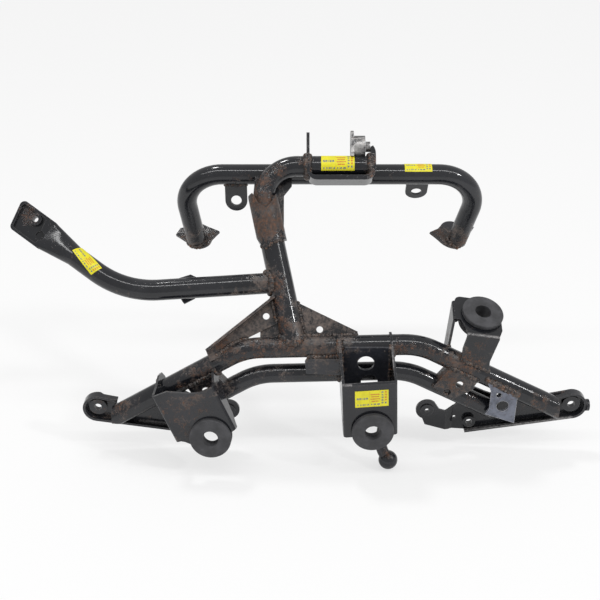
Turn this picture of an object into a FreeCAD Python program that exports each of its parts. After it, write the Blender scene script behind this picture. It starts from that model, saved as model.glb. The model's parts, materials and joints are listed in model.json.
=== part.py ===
import FreeCAD, Part
import math
import os
from FreeCAD import Matrix, Placement, Vector

# Motorcycle fairing stay: a weldment of bent tubes and folded brackets, in millimetres.
# Construction datum: the axis of the cross tube on the middle of the frame.
# X runs to the right, Y away from the rider's front, Z up. The finished model is moved so that
# its origin is the bore of the centre grommet.

# Tube stock: outer diameters, and one wall for all of it
CROSS_OD = 19.1
LOWER_OD = 17.3
MAST_OD = 22.2
ARM_OD = 19.1
HOOP_OD = 19.1
SIDE_OD = 19.1
TUBE_WALL = 1.6

# Sheet stock
SHEET = 2.3
HEAD_SHEET = 4.6

# Lower frame: two parallel bent tubes with falling wings
FRAME_TILT = 1.5
LEFT_CORNER_X = 83.0
RIGHT_CORNER_X = 75.0
LEFT_DROP = 31.0
RIGHT_DROP = 27.5
WING_END_X = 207.0
MIDDLE_PITCH = 27.9
WING_PITCH = 29.4
LOWER_WING_RUN = 92.0
FRAME_BEND_R = 58.0

# Upright plane: the mast, the top arm and the side arm lie in one plane that leans back
MAST_LEAN = 36.0
MAST_FOOT_X = -37.4
MAST_SIDE_LEAN = 12.0
ARM_HEIGHT = 166.4
MAST_SHORT = 48.4
ARM_SOCKET = 8.0
ARM_END_X = 32.4
ARM_BEND_R = 30.5
SIDE_ROOT_HEIGHT = 58.0
SIDE_FALL = 3.6
SIDE_CORNER_X = -192.0
SIDE_RISE = 36.0
SIDE_BEND_R = 88.0
SIDE_ROUND_RUN = 57.0

# Flattened end of the side arm
FLAT_TAPER = 32.0
FLAT_RUN = 34.5
FLAT_WIDTH = 28.6
FLAT_THICK = 7.0
FLAT_END_SKEW = 13.6
FLAT_POCKET = 3.0
FLAT_RIM = 2.6
FLAT_CORNER_R = 4.5
ARM_NUT_R = 5.6
ARM_NUT_BORE = 2.6
ARM_NUT_HIGH = 3.4
ARM_NUT_RUN = 16.4
ARM_NUT_RISE = 6.0
DIMPLE_RUN = 4.2
DIMPLE_FALL = 3.8
DIMPLE_R = 4.4

# Hoop, a little below the arm's axis and touching it from behind
HOOP_FALL = 2.4
HOOP_LEFT_X = -146.0
HOOP_RIGHT_X = 142.0
HOOP_BEND_R = 36.0
HOOP_LEG_DROP = 81.0
HOOP_LEG_BACK = 27.0
HOOP_LEG_IN_LEFT = 10.1
HOOP_LEG_IN_RIGHT = 17.4
TAB_R = 10.5
TAB_HOLE_R = 5.0
TAB_REACH = 26.0
LEFT_TAB_X = -93.0
RIGHT_TAB_X = 79.5
RIGHT_TAB_TILT = 32.0

# Head bracket on the arm, with a bare ear and a stepped bush
HEAD_LEFT_X = -26.4
HEAD_BEND_R = 10.0
HEAD_FRONT = 12.0
HEAD_BACK = 9.2
HEAD_DROP = 1.5
EAR_X = 14.4
EAR_THICK = 2.8
BUSH_RISE = 18.6
BUSH_BIG_R = 10.2
BUSH_BIG_LONG = 10.5
BUSH_SMALL_R = 4.8
BUSH_BORE_R = 3.2

# Grommets: two flanges and a neck that sits in its bracket's hole
GROMMET_R = 18.9
GROMMET_NECK_R = 12.0
GROMMET_BORE_R = 7.2
GROMMET_FLANGE = 4.6
NECK_PLAY = 0.2

# Centre bracket and the plate behind it
CENTRE_X = 26.0
CENTRE_YAW = 2.5
CENTRE_ROLL = 2.6
CENTRE_WIDTH = 48.6
CENTRE_REACH = 42.0
CENTRE_TOP = -14.6
CENTRE_BOTTOM = -68.9
CENTRE_GROMMET_X = 1.7
CENTRE_GROMMET_Z = -62.9
LOBE_R = 16.5
FOLD_R = 3.0
PLATE_HOLE_R = 7.6
STUD_ROD_R = 5.8
STUD_BALL_R = 8.3

# Nuts and rims of the side plates
SIDE_NUT_R = 5.9
SIDE_NUT_BORE = 3.2
SIDE_NUT_HIGH = 4.0
SIDE_NUT_RUN = 40.5
SIDE_NUT_FALL = 13.8
RIM_START_X = 120.0

# Tips of the side plates
LEFT_TIP_X = -222.0
LEFT_TIP_Z = -70.4
RIGHT_TIP_X = 221.8
RIGHT_TIP_Z = -67.3
TIP_R = 13.7
TIP_RIM = 6.3
TIP_BOSS_R = 8.2
TIP_BORE_R = 3.4
TIP_BOSS_HIGH = 2.6
LOBE_STEP = -4.0


def direction(angle):
    """Unit vector in the XZ plane, measured up from +X."""
    return Vector(math.cos(math.radians(angle)), 0, math.sin(math.radians(angle)))


def frame(origin, right, up):
    """Placement whose local X and Z are the given directions; local Y points away from the viewer."""
    x = Vector(right).normalize()
    away = Vector(up).cross(x).normalize()
    z = x.cross(away)
    matrix = Matrix(x.x, away.x, z.x, origin.x,
                    x.y, away.y, z.y, origin.y,
                    x.z, away.z, z.z, origin.z,
                    0, 0, 0, 1)
    return Placement(matrix)


MAST_TOP = ARM_HEIGHT - MAST_SHORT
LEAN = math.radians(MAST_LEAN)
UPRIGHT = frame(Vector(0, 0, 0), Vector(1, 0, 0), Vector(0, math.sin(LEAN), math.cos(LEAN)))


def upright(x, height, depth=0.0):
    """Point in the leaning plane of the mast, with a depth away from the viewer."""
    return UPRIGHT.multVec(Vector(x, depth, height))


def straight_bar(start, end, radius):
    """Round bar between two points."""
    return Part.makeCylinder(radius, (end - start).Length, start, end - start)


def bent_bar(points, bend, radius):
    """Round bar along straight runs joined by tangent arcs of one radius."""
    pieces = []
    start = points[0]
    for before, corner, after in zip(points, points[1:], points[2:]):
        back = (before - corner).normalize()
        ahead = (after - corner).normalize()
        half = back.getAngle(ahead) / 2
        reach = bend / math.tan(half)
        first = corner + back * reach
        last = corner + ahead * reach
        centre = corner + (back + ahead).normalize() * (bend / math.sin(half))
        axis = (first - centre).cross(last - centre)
        ring = Part.Face(Part.Wire(Part.makeCircle(radius, first, back)))
        pieces.append(straight_bar(start, first, radius))
        pieces.append(ring.revolve(centre, axis, 180 - 2 * math.degrees(half)))
        start = last
    last_run = straight_bar(start, points[-1], radius)
    return last_run.fuse(pieces).removeSplitter() if pieces else last_run


def bent_tube(points, bend, outer_d):
    """A tube and the full bar of its outside, which cuts the pieces that meet it."""
    bar = bent_bar(points, bend, outer_d / 2)
    bore = bent_bar(points, bend, outer_d / 2 - TUBE_WALL)
    return bar.cut(bore), bar


def outline(points):
    """Closed wire in the local XZ plane from points and three-point arcs."""
    edges = []
    here = points[0]
    for item in points[1:] + [points[0]]:
        if isinstance(item[0], tuple):
            middle, end = item
            edges.append(Part.Arc(Vector(here[0], 0, here[1]), Vector(middle[0], 0, middle[1]),
                                  Vector(end[0], 0, end[1])).toShape())
            here = end
        else:
            edges.append(Part.makeLine(Vector(here[0], 0, here[1]), Vector(item[0], 0, item[1])))
            here = item
    return Part.Wire(edges)


def plate(points, place, front, thick):
    """Sheet with an outline in the local XZ plane, from one depth to a thickness behind it."""
    face = Part.Face(outline(points))
    face.translate(Vector(0, front, 0))
    solid = face.extrude(Vector(0, thick, 0))
    return moved(solid, place)


def moved(shape, place):
    """A copy with the placement applied."""
    copy = shape.copy()
    copy.Placement = place.multiply(copy.Placement)
    return copy


def bar_along(place, x, z, front, long, radius):
    """Cylinder along local Y, used for holes, bosses and nuts."""
    return moved(Part.makeCylinder(radius, long, Vector(x, front, z), Vector(0, 1, 0)), place)


def trimmed(shape, *neighbours):
    """The shape with the room of its neighbours taken out; slivers on their far side are left away."""
    for other in neighbours:
        shape = shape.cut(other)
    return max(shape.Solids, key=lambda solid: solid.Volume)


def ring_nut(place, x, z, front, high, radius, bore):
    """Round weld nut along local Y."""
    return bar_along(place, x, z, front, high, radius).cut(bar_along(place, x, z, front, high, bore))


# Lower frame

class Wing:
    """One falling wing of the lower frame: its corner and its direction."""

    def __init__(self, side, corner_x, drop):
        self.side = side
        self.drop = drop
        self.turn = math.radians(drop + side * FRAME_TILT)
        self.corner = Vector(side * corner_x, 0, side * corner_x * math.tan(math.radians(FRAME_TILT)))
        self.along = Vector(side * math.cos(math.radians(drop)), 0, -math.sin(math.radians(drop)))
        self.end = self.corner + self.along * ((WING_END_X + 8 - corner_x) / math.cos(math.radians(drop)))

    def point(self, run, rise, depth=0.0):
        """A point by its run from the corner and its rise square to the wing."""
        square = Vector(self.side * math.sin(math.radians(self.drop)), 0, math.cos(math.radians(self.drop)))
        return self.corner + self.along * run + square * rise + Vector(0, depth, 0)

    def flat(self, run, rise):
        """The same point as a pair in the XZ plane."""
        at = self.point(run, rise)
        return (at.x, at.z)


LEFT_WING = Wing(-1, LEFT_CORNER_X, LEFT_DROP)
RIGHT_WING = Wing(1, RIGHT_CORNER_X, RIGHT_DROP)
LOWER_DEPTH = (CROSS_OD - LOWER_OD) / 2


def lower_corner(wing):
    """Corner of the lower tube, at one pitch below the middle run and another below the wing."""
    run = (MIDDLE_PITCH - WING_PITCH * math.cos(wing.turn)) / math.sin(wing.turn)
    return wing.point(run, -WING_PITCH, LOWER_DEPTH)


def make_cross_tube():
    """Upper tube of the lower frame; its ends are cut upright and rest on the rims of the side plates."""
    tube, bar = bent_tube([LEFT_WING.end, LEFT_WING.corner, RIGHT_WING.corner, RIGHT_WING.end],
                          FRAME_BEND_R, CROSS_OD)
    room = []
    for side, form in ((-1, LEFT_FORM), (1, RIGHT_FORM)):
        far = Part.makeBox(60, 60, 200, Vector(side * (WING_END_X + 30) - 30, -30, -160))
        below = [(form.foot_in.x, form.foot_in.z), (form.under_in.x, form.under_in.z),
                 (form.under_in.x + side * 40, form.under_in.z), (form.under_in.x + side * 40, -160),
                 (form.foot_in.x, -160)]
        slant = Part.Face(outline(below))
        slant.translate(Vector(0, WEB_FRONT - TIP_RIM, 0))
        room += [far, plate(below, Placement(), WEB_FRONT - TIP_RIM, 30), slant.extrude(Vector(0, -30, 15))]
    return trimmed(tube, *room), trimmed(bar, *room)


def make_lower_tube():
    """Thinner tube below, whose back lies in one plane with the back of the upper tube."""
    left = lower_corner(LEFT_WING)
    right = lower_corner(RIGHT_WING)
    return bent_tube([left + LEFT_WING.along * LOWER_WING_RUN, left, right,
                      right + RIGHT_WING.along * LOWER_WING_RUN], FRAME_BEND_R, LOWER_OD)


# Upright group

def mast_point(height):
    """Point on the mast's axis at a height in the leaning plane."""
    return upright(MAST_FOOT_X - height * math.tan(math.radians(MAST_SIDE_LEAN)), height)


def make_mast_tube(cross_bar, arm_bar):
    """Mast, coped onto the cross tube and opened at the top for the arm."""
    tube, bar = bent_tube([mast_point(0), mast_point(MAST_TOP)], ARM_BEND_R, MAST_OD)
    return trimmed(tube, cross_bar, arm_bar), bar


def make_top_arm():
    """Arm that sits in the top of the mast and bends over to the right."""
    return bent_tube([mast_point(MAST_TOP - ARM_SOCKET), mast_point(ARM_HEIGHT),
                      upright(ARM_END_X, ARM_HEIGHT)], ARM_BEND_R, ARM_OD)


def side_arm_points():
    """Axis of the side arm: from inside the mast to the start of its flattened end."""
    root_x = MAST_FOOT_X - SIDE_ROOT_HEIGHT * math.tan(math.radians(MAST_SIDE_LEAN))
    corner_h = SIDE_ROOT_HEIGHT + (SIDE_CORNER_X - root_x) * math.tan(math.radians(SIDE_FALL))
    rise = math.radians(SIDE_RISE)
    root = upright(root_x, SIDE_ROOT_HEIGHT)
    corner = upright(SIDE_CORNER_X, corner_h)
    end = upright(SIDE_CORNER_X - SIDE_ROUND_RUN * math.cos(rise), corner_h + SIDE_ROUND_RUN * math.sin(rise))
    return root, corner, end


def stadium(width, thick, along):
    """Flat oval section of four edges, square to local X."""
    half_w = width / 2 - thick / 2
    half_t = thick / 2
    top = [Vector(along, -half_t, half_w), Vector(along, 0, half_w + half_t), Vector(along, half_t, half_w)]
    low = [Vector(along, half_t, -half_w), Vector(along, 0, -half_w - half_t), Vector(along, -half_t, -half_w)]
    return Part.Wire([Part.Arc(*top).toShape(), Part.makeLine(top[2], low[0]),
                      Part.Arc(*low).toShape(), Part.makeLine(low[2], top[0])])


def quartered_circle(radius, along):
    """Circle of four arcs that pair with the four edges of the flat oval."""
    def spot(angle):
        a = math.radians(angle)
        return Vector(along, -radius * math.cos(a), radius * math.sin(a))
    arcs = []
    for start in (45, 135, 225, 315):
        arcs.append(Part.Arc(spot(start), spot(start + 45), spot(start + 90)).toShape())
    return Part.Wire(arcs)


def rounded(points, radius):
    """Outline whose corners are rounded with one radius; returns it for the outline builder."""
    shape = []
    count = len(points)
    for i in range(count):
        before, corner, after = (Vector(q[0], 0, q[1]) for q in (points[i - 1], points[i], points[(i + 1) % count]))
        back = (before - corner).normalize()
        ahead = (after - corner).normalize()
        half = back.getAngle(ahead) / 2
        reach = radius / math.tan(half)
        middle = corner + (back + ahead).normalize() * (radius / math.sin(half) - radius)
        first = corner + back * reach
        last = corner + ahead * reach
        shape.append((first.x, first.z))
        shape.append(((middle.x, middle.z), (last.x, last.z)))
    return shape


def make_side_arm(mast_bar):
    """Bent tube whose far end is pressed flat, with a raised rim round a pocket.

    Local Y of the flat end points towards the viewer.
    """
    root, corner, end = side_arm_points()
    tube, bar = bent_tube([root, corner, end], SIDE_BEND_R, SIDE_OD)
    place = frame(end, end - corner, UPRIGHT.Rotation.multVec(direction(90)))
    taper = Part.makeLoft([quartered_circle(SIDE_OD / 2, 0), stadium(FLAT_WIDTH, FLAT_THICK, FLAT_TAPER)],
                          True, True)
    half = FLAT_WIDTH / 2
    skew = half * math.tan(math.radians(FLAT_END_SKEW))
    far = FLAT_TAPER + FLAT_RUN
    paddle_edge = [(FLAT_TAPER - 1, -half), (FLAT_TAPER - 1, half), (far + skew, half), (far - skew, -half)]
    paddle = plate(paddle_edge, Placement(), -FLAT_THICK / 2, FLAT_THICK)
    tips = [edge for edge in paddle.Edges
            if abs(edge.Vertexes[0].X - edge.Vertexes[1].X) < 0.01 and edge.Vertexes[0].X > far - 2 * skew
            and abs(edge.Vertexes[0].Z - edge.Vertexes[1].Z) < 0.01]
    paddle = paddle.makeFillet(FLAT_CORNER_R, tips)
    inner = half - FLAT_RIM
    start = FLAT_TAPER + 2
    slip = inner * math.tan(math.radians(FLAT_END_SKEW))
    pocket_edge = [(start, -inner), (start + 7, inner), (far + slip - FLAT_RIM, inner),
                   (far - slip - FLAT_RIM, -inner)]
    floor = FLAT_THICK / 2 - FLAT_POCKET
    pocket = plate(rounded(pocket_edge, FLAT_CORNER_R - 2), Placement(), floor, FLAT_POCKET)
    hole = bar_along(Placement(), FLAT_TAPER + ARM_NUT_RUN, ARM_NUT_RISE, -FLAT_THICK, 2 * FLAT_THICK,
                     ARM_NUT_BORE)
    dimple = bar_along(Placement(), FLAT_TAPER + DIMPLE_RUN, -DIMPLE_FALL, floor - 1.4, FLAT_THICK, DIMPLE_R)
    flat_end = moved(trimmed(taper.fuse(paddle), pocket, hole, dimple), place)
    solid = tube.fuse(flat_end).removeSplitter().cut(mast_bar)
    return solid, bar, place


def arm_thread():
    """Middle and direction of the threaded hole in the flattened end."""
    root, corner, end = side_arm_points()
    place = frame(end, end - corner, UPRIGHT.Rotation.multVec(direction(90)))
    depth = (ARM_NUT_HIGH - FLAT_POCKET) / 2
    middle = place.multVec(Vector(FLAT_TAPER + ARM_NUT_RUN, depth, ARM_NUT_RISE))
    return middle, place.Rotation.multVec(Vector(0, 1, 0))


def make_arm_nut(place):
    """Weld nut in the pocket of the flattened end."""
    return ring_nut(place, FLAT_TAPER + ARM_NUT_RUN, ARM_NUT_RISE, FLAT_THICK / 2 - FLAT_POCKET, ARM_NUT_HIGH,
                    ARM_NUT_R, ARM_NUT_BORE)


def hoop_axis():
    """Depth of the hoop behind the arm, so that the two tubes touch."""
    reach = (ARM_OD + HOOP_OD) / 2
    depth = math.sqrt(reach ** 2 - HOOP_FALL ** 2)
    return upright(0, ARM_HEIGHT - HOOP_FALL, depth)


HOOP = hoop_axis()


def hoop_points():
    """Axis of the hoop with its two legs, which lean back and in."""
    left = Vector(HOOP_LEFT_X, HOOP.y, HOOP.z)
    right = Vector(HOOP_RIGHT_X, HOOP.y, HOOP.z)
    left_end = left + Vector(HOOP_LEG_IN_LEFT, HOOP_LEG_BACK, -HOOP_LEG_DROP)
    right_end = right + Vector(-HOOP_LEG_IN_RIGHT, HOOP_LEG_BACK, -HOOP_LEG_DROP)
    return left_end, left, right, right_end


def make_hoop():
    return bent_tube(list(hoop_points()), HOOP_BEND_R, HOOP_OD)


# Feet seen from above: local X to the right and local Z to the back, from the middle of the leg
LEFT_FOOT = [(-17.6, 22.0), (-21.9, 12.9), (-10.1, 0.5), (-4.7, -7.4), ((-0.6, -9.4), (4.0, -10.2)),
             ((9.6, -8.6), (13.5, -4.6)), (15.4, 0.7), (22.8, 10.2), (21.3, 11.6), (10.8, 19.4), (4.0, 25.1)]
RIGHT_FOOT = [(-27.4, 5.2), (-18.8, 13.0), (-15.4, 19.3), ((-10.5, 25.8), (-3.4, 28.5)), (19.9, 26.5),
              (15.0, 15.9), (4.7, -1.2), ((3.0, -7.4), (-2.5, -10.4)), ((-9.4, -9.6), (-16.0, -5.4)),
              (-20.3, -1.0)]


def make_foot(leg_end, leg_top, shape):
    """Foot plate square to its leg."""
    down = (leg_end - leg_top).normalize()
    right = down.cross(Vector(0, 1, 0)).normalize()
    place = frame(leg_end, right, right.cross(down))
    return plate(shape, place, 0, SHEET)


def tab_place(x, tilt):
    """Frame of an eyelet tab: on the hoop's axis, swung forward by its tilt."""
    a = math.radians(tilt)
    return frame(Vector(x, HOOP.y, HOOP.z), Vector(1, 0, 0), Vector(0, -math.sin(a), math.cos(a)))


def make_tab(x, tilt, hoop_bar):
    """Eyelet tab under the hoop."""
    place = tab_place(x, tilt)
    low = -TAB_REACH
    shape = [(-TAB_R, 0), (TAB_R, 0), (TAB_R, low), ((0, low - TAB_R), (-TAB_R, low))]
    body = plate(shape, place, -SHEET / 2, SHEET)
    hole = bar_along(place, 0, low, -SHEET, 2 * SHEET, TAB_HOLE_R)
    return body.cut(hole).cut(hoop_bar)


def make_collar(arm_bar, mast_bar):
    """Half shell welded over the joint of mast and arm, open at the back."""
    low = mast_point(MAST_TOP - 28)
    high = mast_point(MAST_TOP + 24)
    axis = high - low
    inner = MAST_OD / 2
    shell = Part.makeCylinder(inner + SHEET, axis.Length, low, axis)
    shell = shell.cut(Part.makeCylinder(inner, axis.Length, low, axis))
    # Torn edge of the shell, by its rise over the mast's top
    edge = [(-67, -28), (-63, -29.5), (-55, -23.5), (-44, -21), (-42, -12), (-46, 4), (-53, 25),
            (-57, 14), (-63, 6), (-70, 11), (-76, 21), (-80, 19), (-77, -6), (-73, -18)]
    cover = plate([(x, MAST_TOP + rise) for x, rise in edge], UPRIGHT, -30, 32)
    return shell.common(cover).cut(arm_bar).cut(mast_bar)


def make_hoop_gusset(arm_bar, mast_bar, hoop_bar, collar):
    """Small plate behind the arm, between the mast and the underside of the hoop."""
    low = MAST_TOP - 6
    high = ARM_HEIGHT - 6.4
    shape = [(-72, low), (-47.3, low), (-47.3, high - 19), (-40, high - 10), (-40, high), (-74, high),
             (-76, high - 20)]
    body = plate(shape, UPRIGHT, ARM_OD / 2 - 0.4, SHEET)
    return trimmed(body, arm_bar, mast_bar, hoop_bar, collar)


def make_head_bracket(arm_bar, hoop_bar):
    """U bracket under the arm: the left wall rises to an ear, the right wall closes the arm's end."""
    low = ARM_HEIGHT - ARM_OD / 2 - HEAD_DROP - HEAD_SHEET
    left = HEAD_LEFT_X
    right = ARM_END_X + HEAD_SHEET
    inner = left + SHEET + 0.5
    web = low + HEAD_SHEET
    r = HEAD_BEND_R
    c = r * (1 - math.sqrt(0.5))
    q = (r - HEAD_SHEET) * (1 - math.sqrt(0.5))
    k = r - HEAD_SHEET
    top = ARM_HEIGHT + 32.6
    bush = ARM_HEIGHT + BUSH_RISE
    profile = [(left, top), (left, low + r), ((left + c, low + c), (left + r, low)), (right - r, low),
               ((right - c, low + c), (right, low + r)), (right, bush - 8),
               ((right - 0.8, bush - 3.5), (right - HEAD_SHEET / 2, bush - 0.6)), (ARM_END_X, bush - 2),
               (ARM_END_X, web + k), ((ARM_END_X - q, web + q), (ARM_END_X - k, web)), (inner + k, web),
               ((inner + q, web + q), (inner, web + k)), (inner, top)]
    body = plate(profile, UPRIGHT, -HEAD_FRONT, HEAD_FRONT + HEAD_BACK)
    cheek = side_plate_x([(-HEAD_FRONT, low - 1), (HEAD_BACK, low - 1), (HEAD_BACK, ARM_HEIGHT + 3.6),
                          (6.5, top - 15), (5.5, top - 5), ((0, top - 0.3), (-5.5, top - 5)), (-7, top - 15),
                          (-HEAD_FRONT, ARM_HEIGHT + 5.6)], left - 1, right - left + 2)
    bore = moved(Part.makeCylinder(3.0, 8, Vector(left - 2, 0, top - 9), Vector(1, 0, 0)), UPRIGHT)
    return trimmed(body.common(cheek), bore, arm_bar, hoop_bar)


def side_plate_x(points, x, thick):
    """Plate square to X, from (depth, height) points in the upright plane."""
    edges = []
    here = points[0]

    def spot(pair):
        return Vector(x, pair[0], pair[1])
    for item in points[1:] + [points[0]]:
        if isinstance(item[0], tuple):
            edges.append(Part.Arc(spot(here), spot(item[0]), spot(item[1])).toShape())
            here = item[1]
        else:
            edges.append(Part.makeLine(spot(here), spot(item)))
            here = item
    solid = Part.Face(Part.Wire(edges)).extrude(Vector(thick, 0, 0))
    return moved(solid, UPRIGHT)


def make_head_ear(arm_bar, hoop_bar):
    """Bare ear beside the bush, standing on the arm."""
    foot = ARM_HEIGHT + 7.6
    bush = ARM_HEIGHT + BUSH_RISE
    ear = side_plate_x([(-9, foot), (9, foot), (9, bush + 5), ((0, bush + 15), (-9, bush + 5))], EAR_X, EAR_THICK)
    bore = moved(Part.makeCylinder(BUSH_BORE_R, 10, Vector(EAR_X - 2, 0, bush), Vector(1, 0, 0)), UPRIGHT)
    return trimmed(ear, bore, arm_bar, hoop_bar)


def make_head_bush(arm_bar, hoop_bar):
    """Stepped bush between the ear and the end wall of the bracket."""
    start = EAR_X + EAR_THICK
    step = start + BUSH_BIG_LONG
    bush = ARM_HEIGHT + BUSH_RISE
    big = Part.makeCylinder(BUSH_BIG_R, BUSH_BIG_LONG, Vector(start, 0, bush), Vector(1, 0, 0))
    small = Part.makeCylinder(BUSH_SMALL_R, ARM_END_X - step, Vector(step, 0, bush), Vector(1, 0, 0))
    bore = Part.makeCylinder(BUSH_BORE_R, 30, Vector(start - 5, 0, bush), Vector(1, 0, 0))
    return trimmed(moved(big.fuse(small).cut(bore), UPRIGHT), arm_bar, hoop_bar)


def make_mast_gussets(cross_bar, mast_bar):
    """Flat braces beside the foot of the mast, and the plate behind it."""
    left_shape = [(-56, 45), (-117, -4), (-113, -14), (-92, -4), (-78, 8), (-50, 22)]
    left = plate(left_shape, UPRIGHT, -SHEET / 2, SHEET)
    lip_line = (Vector(61, 0, 49)).normalize()
    lip_place = frame(upright(-117, -4), UPRIGHT.Rotation.multVec(lip_line), UPRIGHT.Rotation.multVec(Vector(-49, 0, 61)))
    lip = plate([(0, -SHEET), (78, -SHEET), (78, 0), (0, 0)], lip_place, -9, 9)
    left = left.fuse(lip).removeSplitter()
    left = left.cut(bar_along(UPRIGHT, -62.9, 26.9, -9, 18, 3.0))
    right_shape = [(-40, 42), (-33.7, 39), (19.5, 13), (19.5, 4), (-40, 4)]
    right = plate(right_shape, UPRIGHT, -SHEET / 2, SHEET)
    right = right.cut(bar_along(UPRIGHT, -14.6, 14.9, -9, 18, 3.0))
    rear_shape = [(-68.3, 3), (-68.3, 13.6), (-60, 24), (-45, 30), (-45, 3)]
    rear = plate(rear_shape, UPRIGHT, SHEET / 2, SHEET)
    return [trimmed(shape, cross_bar, mast_bar) for shape in (left, right, rear)]


def make_arm_tab():
    """Small plate behind the side arm."""
    shape = [(-152, 60.8), (-132.9, 66.9), (-123.3, 62.5), (-128.5, 44.6), (-138.3, 39.5), (-139.9, 41.5)]
    return plate(shape, UPRIGHT, SIDE_OD / 2, SHEET)


# Brackets of the lower frame

def make_back_plate(cross_bar, lower_bar):
    """Plate across the front of both lower tubes, with two large holes."""
    span = math.hypot(MIDDLE_PITCH, LOWER_DEPTH)
    fall = math.asin((CROSS_OD - LOWER_OD) / 2 / span) + math.atan(LOWER_DEPTH / MIDDLE_PITCH)
    up = Vector(0, -math.sin(fall), math.cos(fall))
    place = frame(Vector(0, 0, 0), Vector(1, 0, 0), up)
    front = -CROSS_OD / 2 - SHEET
    shape = [(-28, -9), (-26, -6), (2, -6), (8, 6), (47, 6), (47, -52), (8, -52), (6, -24), (-27, -22)]
    body = plate(shape, place, front, SHEET)
    for x, z in ((26.6, -10.7), (30.4, -31.3)):
        body = body.cut(bar_along(place, x, z, front - 1, SHEET + 2, PLATE_HOLE_R))
    behind = plate(shape, place, front, 60)
    return trimmed(body, cross_bar, lower_bar), behind


def u_channel(left, right, low, high, depth, place):
    """Folded channel: a front web and two walls going away from the viewer."""
    outer = Part.makeBox(right - left, depth, high - low, Vector(left, 0, low))
    corners = [edge for edge in outer.Edges
               if abs(edge.Vertexes[0].Z - edge.Vertexes[1].Z) > 1 and edge.Vertexes[0].Y < 0.01]
    outer = outer.makeFillet(FOLD_R, corners)
    inner = Part.makeBox(right - left - 2 * SHEET, depth, high - low,
                         Vector(left + SHEET, SHEET, low))
    return outer.cut(inner)


def side_cut(points, left, right):
    """Prism through both walls from (depth, height) points."""
    edges = []
    here = points[0]
    for item in points[1:] + [points[0]]:
        edges.append(Part.makeLine(Vector(left, here[0], here[1]), Vector(left, item[0], item[1])))
        here = item
    return Part.Face(Part.Wire(edges)).extrude(Vector(right - left, 0, 0))


def front_cut(points, depth):
    """Prism through the front web from an outline."""
    return Part.Face(outline(points)).extrude(Vector(0, depth, 0))


def neck_hole(x, z):
    """Hole for a grommet's neck."""
    return Part.makeCylinder(GROMMET_NECK_R + NECK_PLAY, 3 * SHEET, Vector(x, -SHEET, z), Vector(0, 1, 0))


def make_grommet(place, x, z):
    """Rubber grommet on a web whose front face is at local depth 0."""
    front = bar_along(place, x, z, -GROMMET_FLANGE, GROMMET_FLANGE, GROMMET_R)
    neck = bar_along(place, x, z, 0, SHEET, GROMMET_NECK_R)
    back = bar_along(place, x, z, SHEET, GROMMET_FLANGE, GROMMET_R)
    body = front.fuse([neck, back]).removeSplitter()
    rims = [edge for edge in body.Edges
            if isinstance(edge.Curve, Part.Circle) and abs(edge.Curve.Radius - GROMMET_R) < 0.01]
    body = body.makeFillet(GROMMET_FLANGE * 0.22, rims)
    total = 2 * GROMMET_FLANGE + SHEET
    return body.cut(bar_along(place, x, z, -GROMMET_FLANGE, total, GROMMET_BORE_R))


def centre_place():
    """Frame of the centre bracket: its front face is local depth 0, turned and rolled a little."""
    yaw = math.radians(CENTRE_YAW)
    roll = math.radians(CENTRE_ROLL)
    right = Vector(math.cos(yaw) * math.cos(roll), math.sin(yaw), math.cos(yaw) * math.sin(roll))
    place = frame(Vector(CENTRE_X, 0, 0), right, Vector(-math.sin(roll), 0, math.cos(roll)))
    return place.multiply(Placement(Vector(0, -CENTRE_REACH, 0), FreeCAD.Rotation()))


CENTRE_PLACE = centre_place()


def make_centre_bracket(cross_bar, lower_bar, behind):
    """Folded box bracket whose walls run back to the cross tube."""
    half = CENTRE_WIDTH / 2
    low = CENTRE_GROMMET_Z - LOBE_R
    channel = u_channel(-half, half, low, 12, CENTRE_REACH + 4, CENTRE_PLACE)
    walls = side_cut([(0, CENTRE_TOP), (CENTRE_REACH - 10.5, 5.5), (CENTRE_REACH - 4.5, 11.6),
                      (CENTRE_REACH + 2, 11.9), (CENTRE_REACH + 2, -8), (CENTRE_REACH - 10, -42),
                      (10, CENTRE_BOTTOM), (SHEET, CENTRE_BOTTOM), (SHEET, low), (0, low)], -half, half)
    tangent = math.sqrt(LOBE_R ** 2 - (CENTRE_GROMMET_Z - CENTRE_BOTTOM) ** 2)
    face = front_cut([(-half, 12), (half, 12), (half, CENTRE_BOTTOM),
                      (CENTRE_GROMMET_X + tangent, CENTRE_BOTTOM),
                      ((CENTRE_GROMMET_X, low), (CENTRE_GROMMET_X - tangent, CENTRE_BOTTOM)),
                      (-half, CENTRE_BOTTOM)], CENTRE_REACH + 4)
    body = channel.common(walls).common(face).cut(neck_hole(CENTRE_GROMMET_X, CENTRE_GROMMET_Z))
    return trimmed(moved(body, CENTRE_PLACE), cross_bar, lower_bar, behind)


def make_ball_stud(behind, bracket):
    """Rod with a ball, hung from the lower edge of the back plate."""
    top = Vector(35, -11.5, -45)
    ball = Vector(49.1, -27, -106.6)
    rod = Part.makeCylinder(STUD_ROD_R, (ball - top).Length, top, ball - top)
    body = rod.fuse(Part.makeSphere(STUD_BALL_R, ball)).removeSplitter()
    return trimmed(body, behind, bracket)


LEFT_BRACKET_PITCH = 9.0
LEFT_BRACKET_ROLL = -25.0


def left_bracket_place():
    """Frame of the left grommet bracket: origin at its hole, rolled with the wing and leaning back."""
    roll = math.radians(LEFT_BRACKET_ROLL)
    pitch = math.radians(LEFT_BRACKET_PITCH)
    right = Vector(math.cos(roll), 0, -math.sin(roll))
    up = Vector(math.sin(roll) * math.cos(pitch), math.sin(pitch), math.cos(roll) * math.cos(pitch))
    return frame(Vector(-112.2, -40.5, -67.4), right, up)


LEFT_PLACE = left_bracket_place()
LEFT_HOLE = (-1.5, -2.6)


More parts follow.
